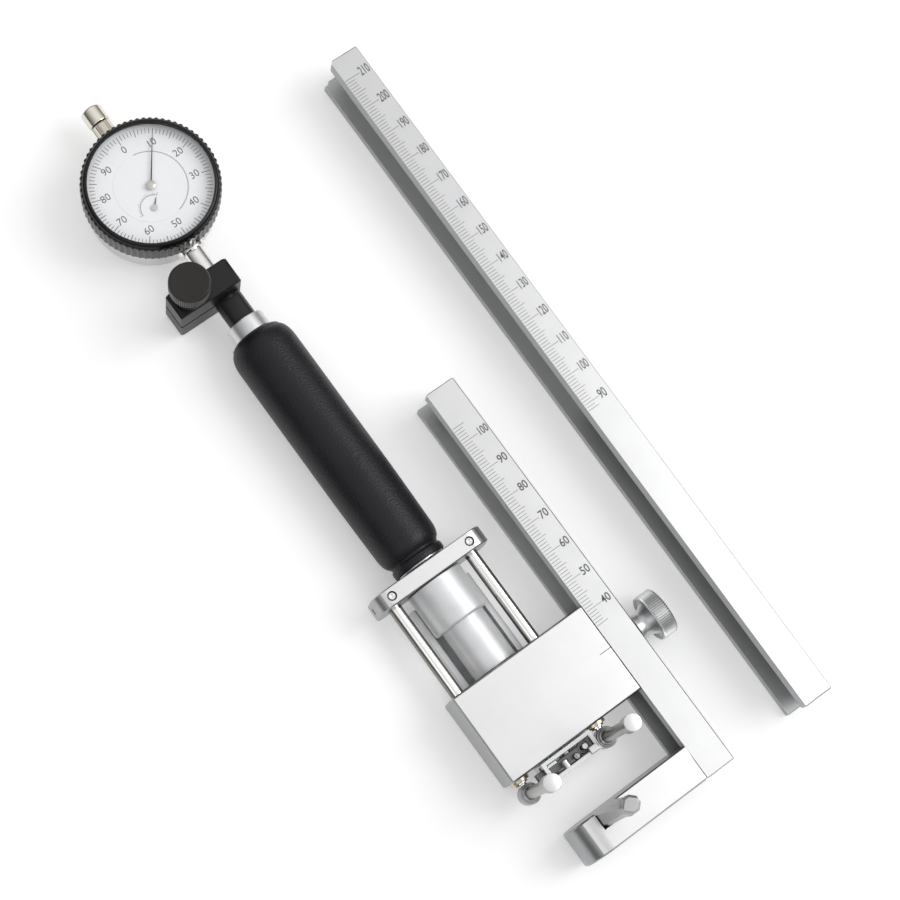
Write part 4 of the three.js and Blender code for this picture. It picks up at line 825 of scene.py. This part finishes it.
# The pale grey is the seam's painted shadow.
grey_ink, seam_shadow_grey = printing("printing_grey", 0.09), printing("painted_seam_shadow_grey", 0.42)
lines = engraved("dial_lines", dial_lines(), face)
settle(lines, grey_ink, "bezel", "dial")
words = []
for n in range(0, 100, 10):
    x, y = around((0, dial_y), numbers_at, n * 3.6)
    words.append((str(n), x - (0.9 if n == 0 else 1.75), y + 0.1))
figures = numbers("dial_numbers", words, 3.2, face, 0.95)
settle(figures, grey_ink, "bezel", "dial")

counter, counter_radius = (-3.0, dial_y - 6.0), 4.0


def curved_line(middle, radius, start, end, width, pieces):
    """Short straight lines that follow a circle, clockwise from one angle to another."""
    step = (end - start) / pieces
    length = radius * math.radians(abs(step)) + 0.03
    for i in range(pieces):
        angle = start + (i + 0.5) * step
        x, y = around(middle, radius, angle)
        yield x, y, length, width, math.radians(-angle)


small = list(curved_line(counter, counter_radius, 46, -94, 0.12, 40))
for i in range(16):
    angle = 45 - i * 9
    length = 0.95 if i % 5 == 0 else 0.6
    x, y = around(counter, counter_radius + length / 2, angle)
    small.append((x, y, length, 0.13, math.radians(90 - angle)))
middle_face = face + 0.04
lines = engraved("counter_lines", small, middle_face)
settle(lines, grey_ink, "indicator", "dial")
# A pale grey arc along the seam between the turning ring and the fixed centre, drawn only on the
# side towards the light: the seam's painted shadow.
seam_shadow_arc = engraved("seam_painted_shadow", curved_line((0, dial_y), 10.75, 6, 165, 0.3, 80), middle_face)
settle(seam_shadow_arc, seam_shadow_grey, "indicator", "dial")

# The pointers: a long blued blade on a steel boss, and a small one that counts the turns.
blued = lined_metal("blued_steel", (0.035, 0.035, 0.045), 0.35, "y", shine=0.5)
boss = lined_metal("boss_steel", (0.62, 0.61, 0.57), 0.3, "Z")


def blade(name, middle, low, thickness, length, root, tip, angle):
    """A tapered blade from a cube: its far end is drawn out and narrowed."""
    start = Vector((middle[0], middle[1], low + thickness / 2)) * mm
    bpy.ops.object.select_all(action="DESELECT")
    bpy.ops.mesh.primitive_cube_add(size=mm, location=start,
                                    scale=(root * 2, 0.2, thickness))
    piece = bpy.context.object
    piece.name = piece.data.name = name
    bpy.ops.object.transform_apply(location=True, rotation=True, scale=True)
    pick(piece, lambda place: place.y > start.y / mm)
    bpy.ops.transform.translate(value=(0, (length - 0.1) * mm, 0))
    bpy.ops.transform.resize(value=(tip / root, 1, 1), center_override=start)
    bpy.ops.mesh.select_all(action="SELECT")
    bpy.ops.transform.rotate(value=math.radians(angle), orient_axis="Z", center_override=start)
    bpy.ops.object.mode_set(mode="OBJECT")
    edge_break(piece, 0.04)
    return piece


pointer_low = face + 0.85
hand = blade("long_pointer", (0, dial_y), pointer_low, 0.2, 15.6, 0.24, 0.1, 36)
settle(hand, blued, "pointer", "pointer", "main_pointer")
hub = spun("pointer_boss", "z", (0, dial_y, 0),
           [(0, pointer_low - 0.15), (1.3, pointer_low - 0.15), (1.35, pointer_low),
            (1.35, pointer_low + 0.5), (1.2, pointer_low + 0.6), (0, pointer_low + 0.6)], 64)
settle(hub, boss, "pointer", "pointer")
counter_low = face + 0.3
hand = blade("small_pointer", counter, counter_low, 0.2, 3.2, 0.2, 0.1, 44)
settle(hand, blued, "counter", "pointer", "counter_pointer")
hub = spun("counter_boss", "z", (*counter, 0),
           [(0, counter_low), (0.9, counter_low), (1, counter_low + 0.08),
            (0.95, counter_low + 0.22), (0.6, counter_low + 0.25), (0, counter_low + 0.25)], 48)
settle(hub, boss, "counter", "pointer")

# Inside the case: brass plates and wheels, steel shafts and springs, and the steel plunger.
# These keep the solids of the part and get their finishes.
dress(bronze, "movement_plate", "movement_bridge", "counter_gear", "takeup_gear")
dress(bright, "plunger", "contact_tip", "plunger_spring", "centre_pinion", "hairspring")
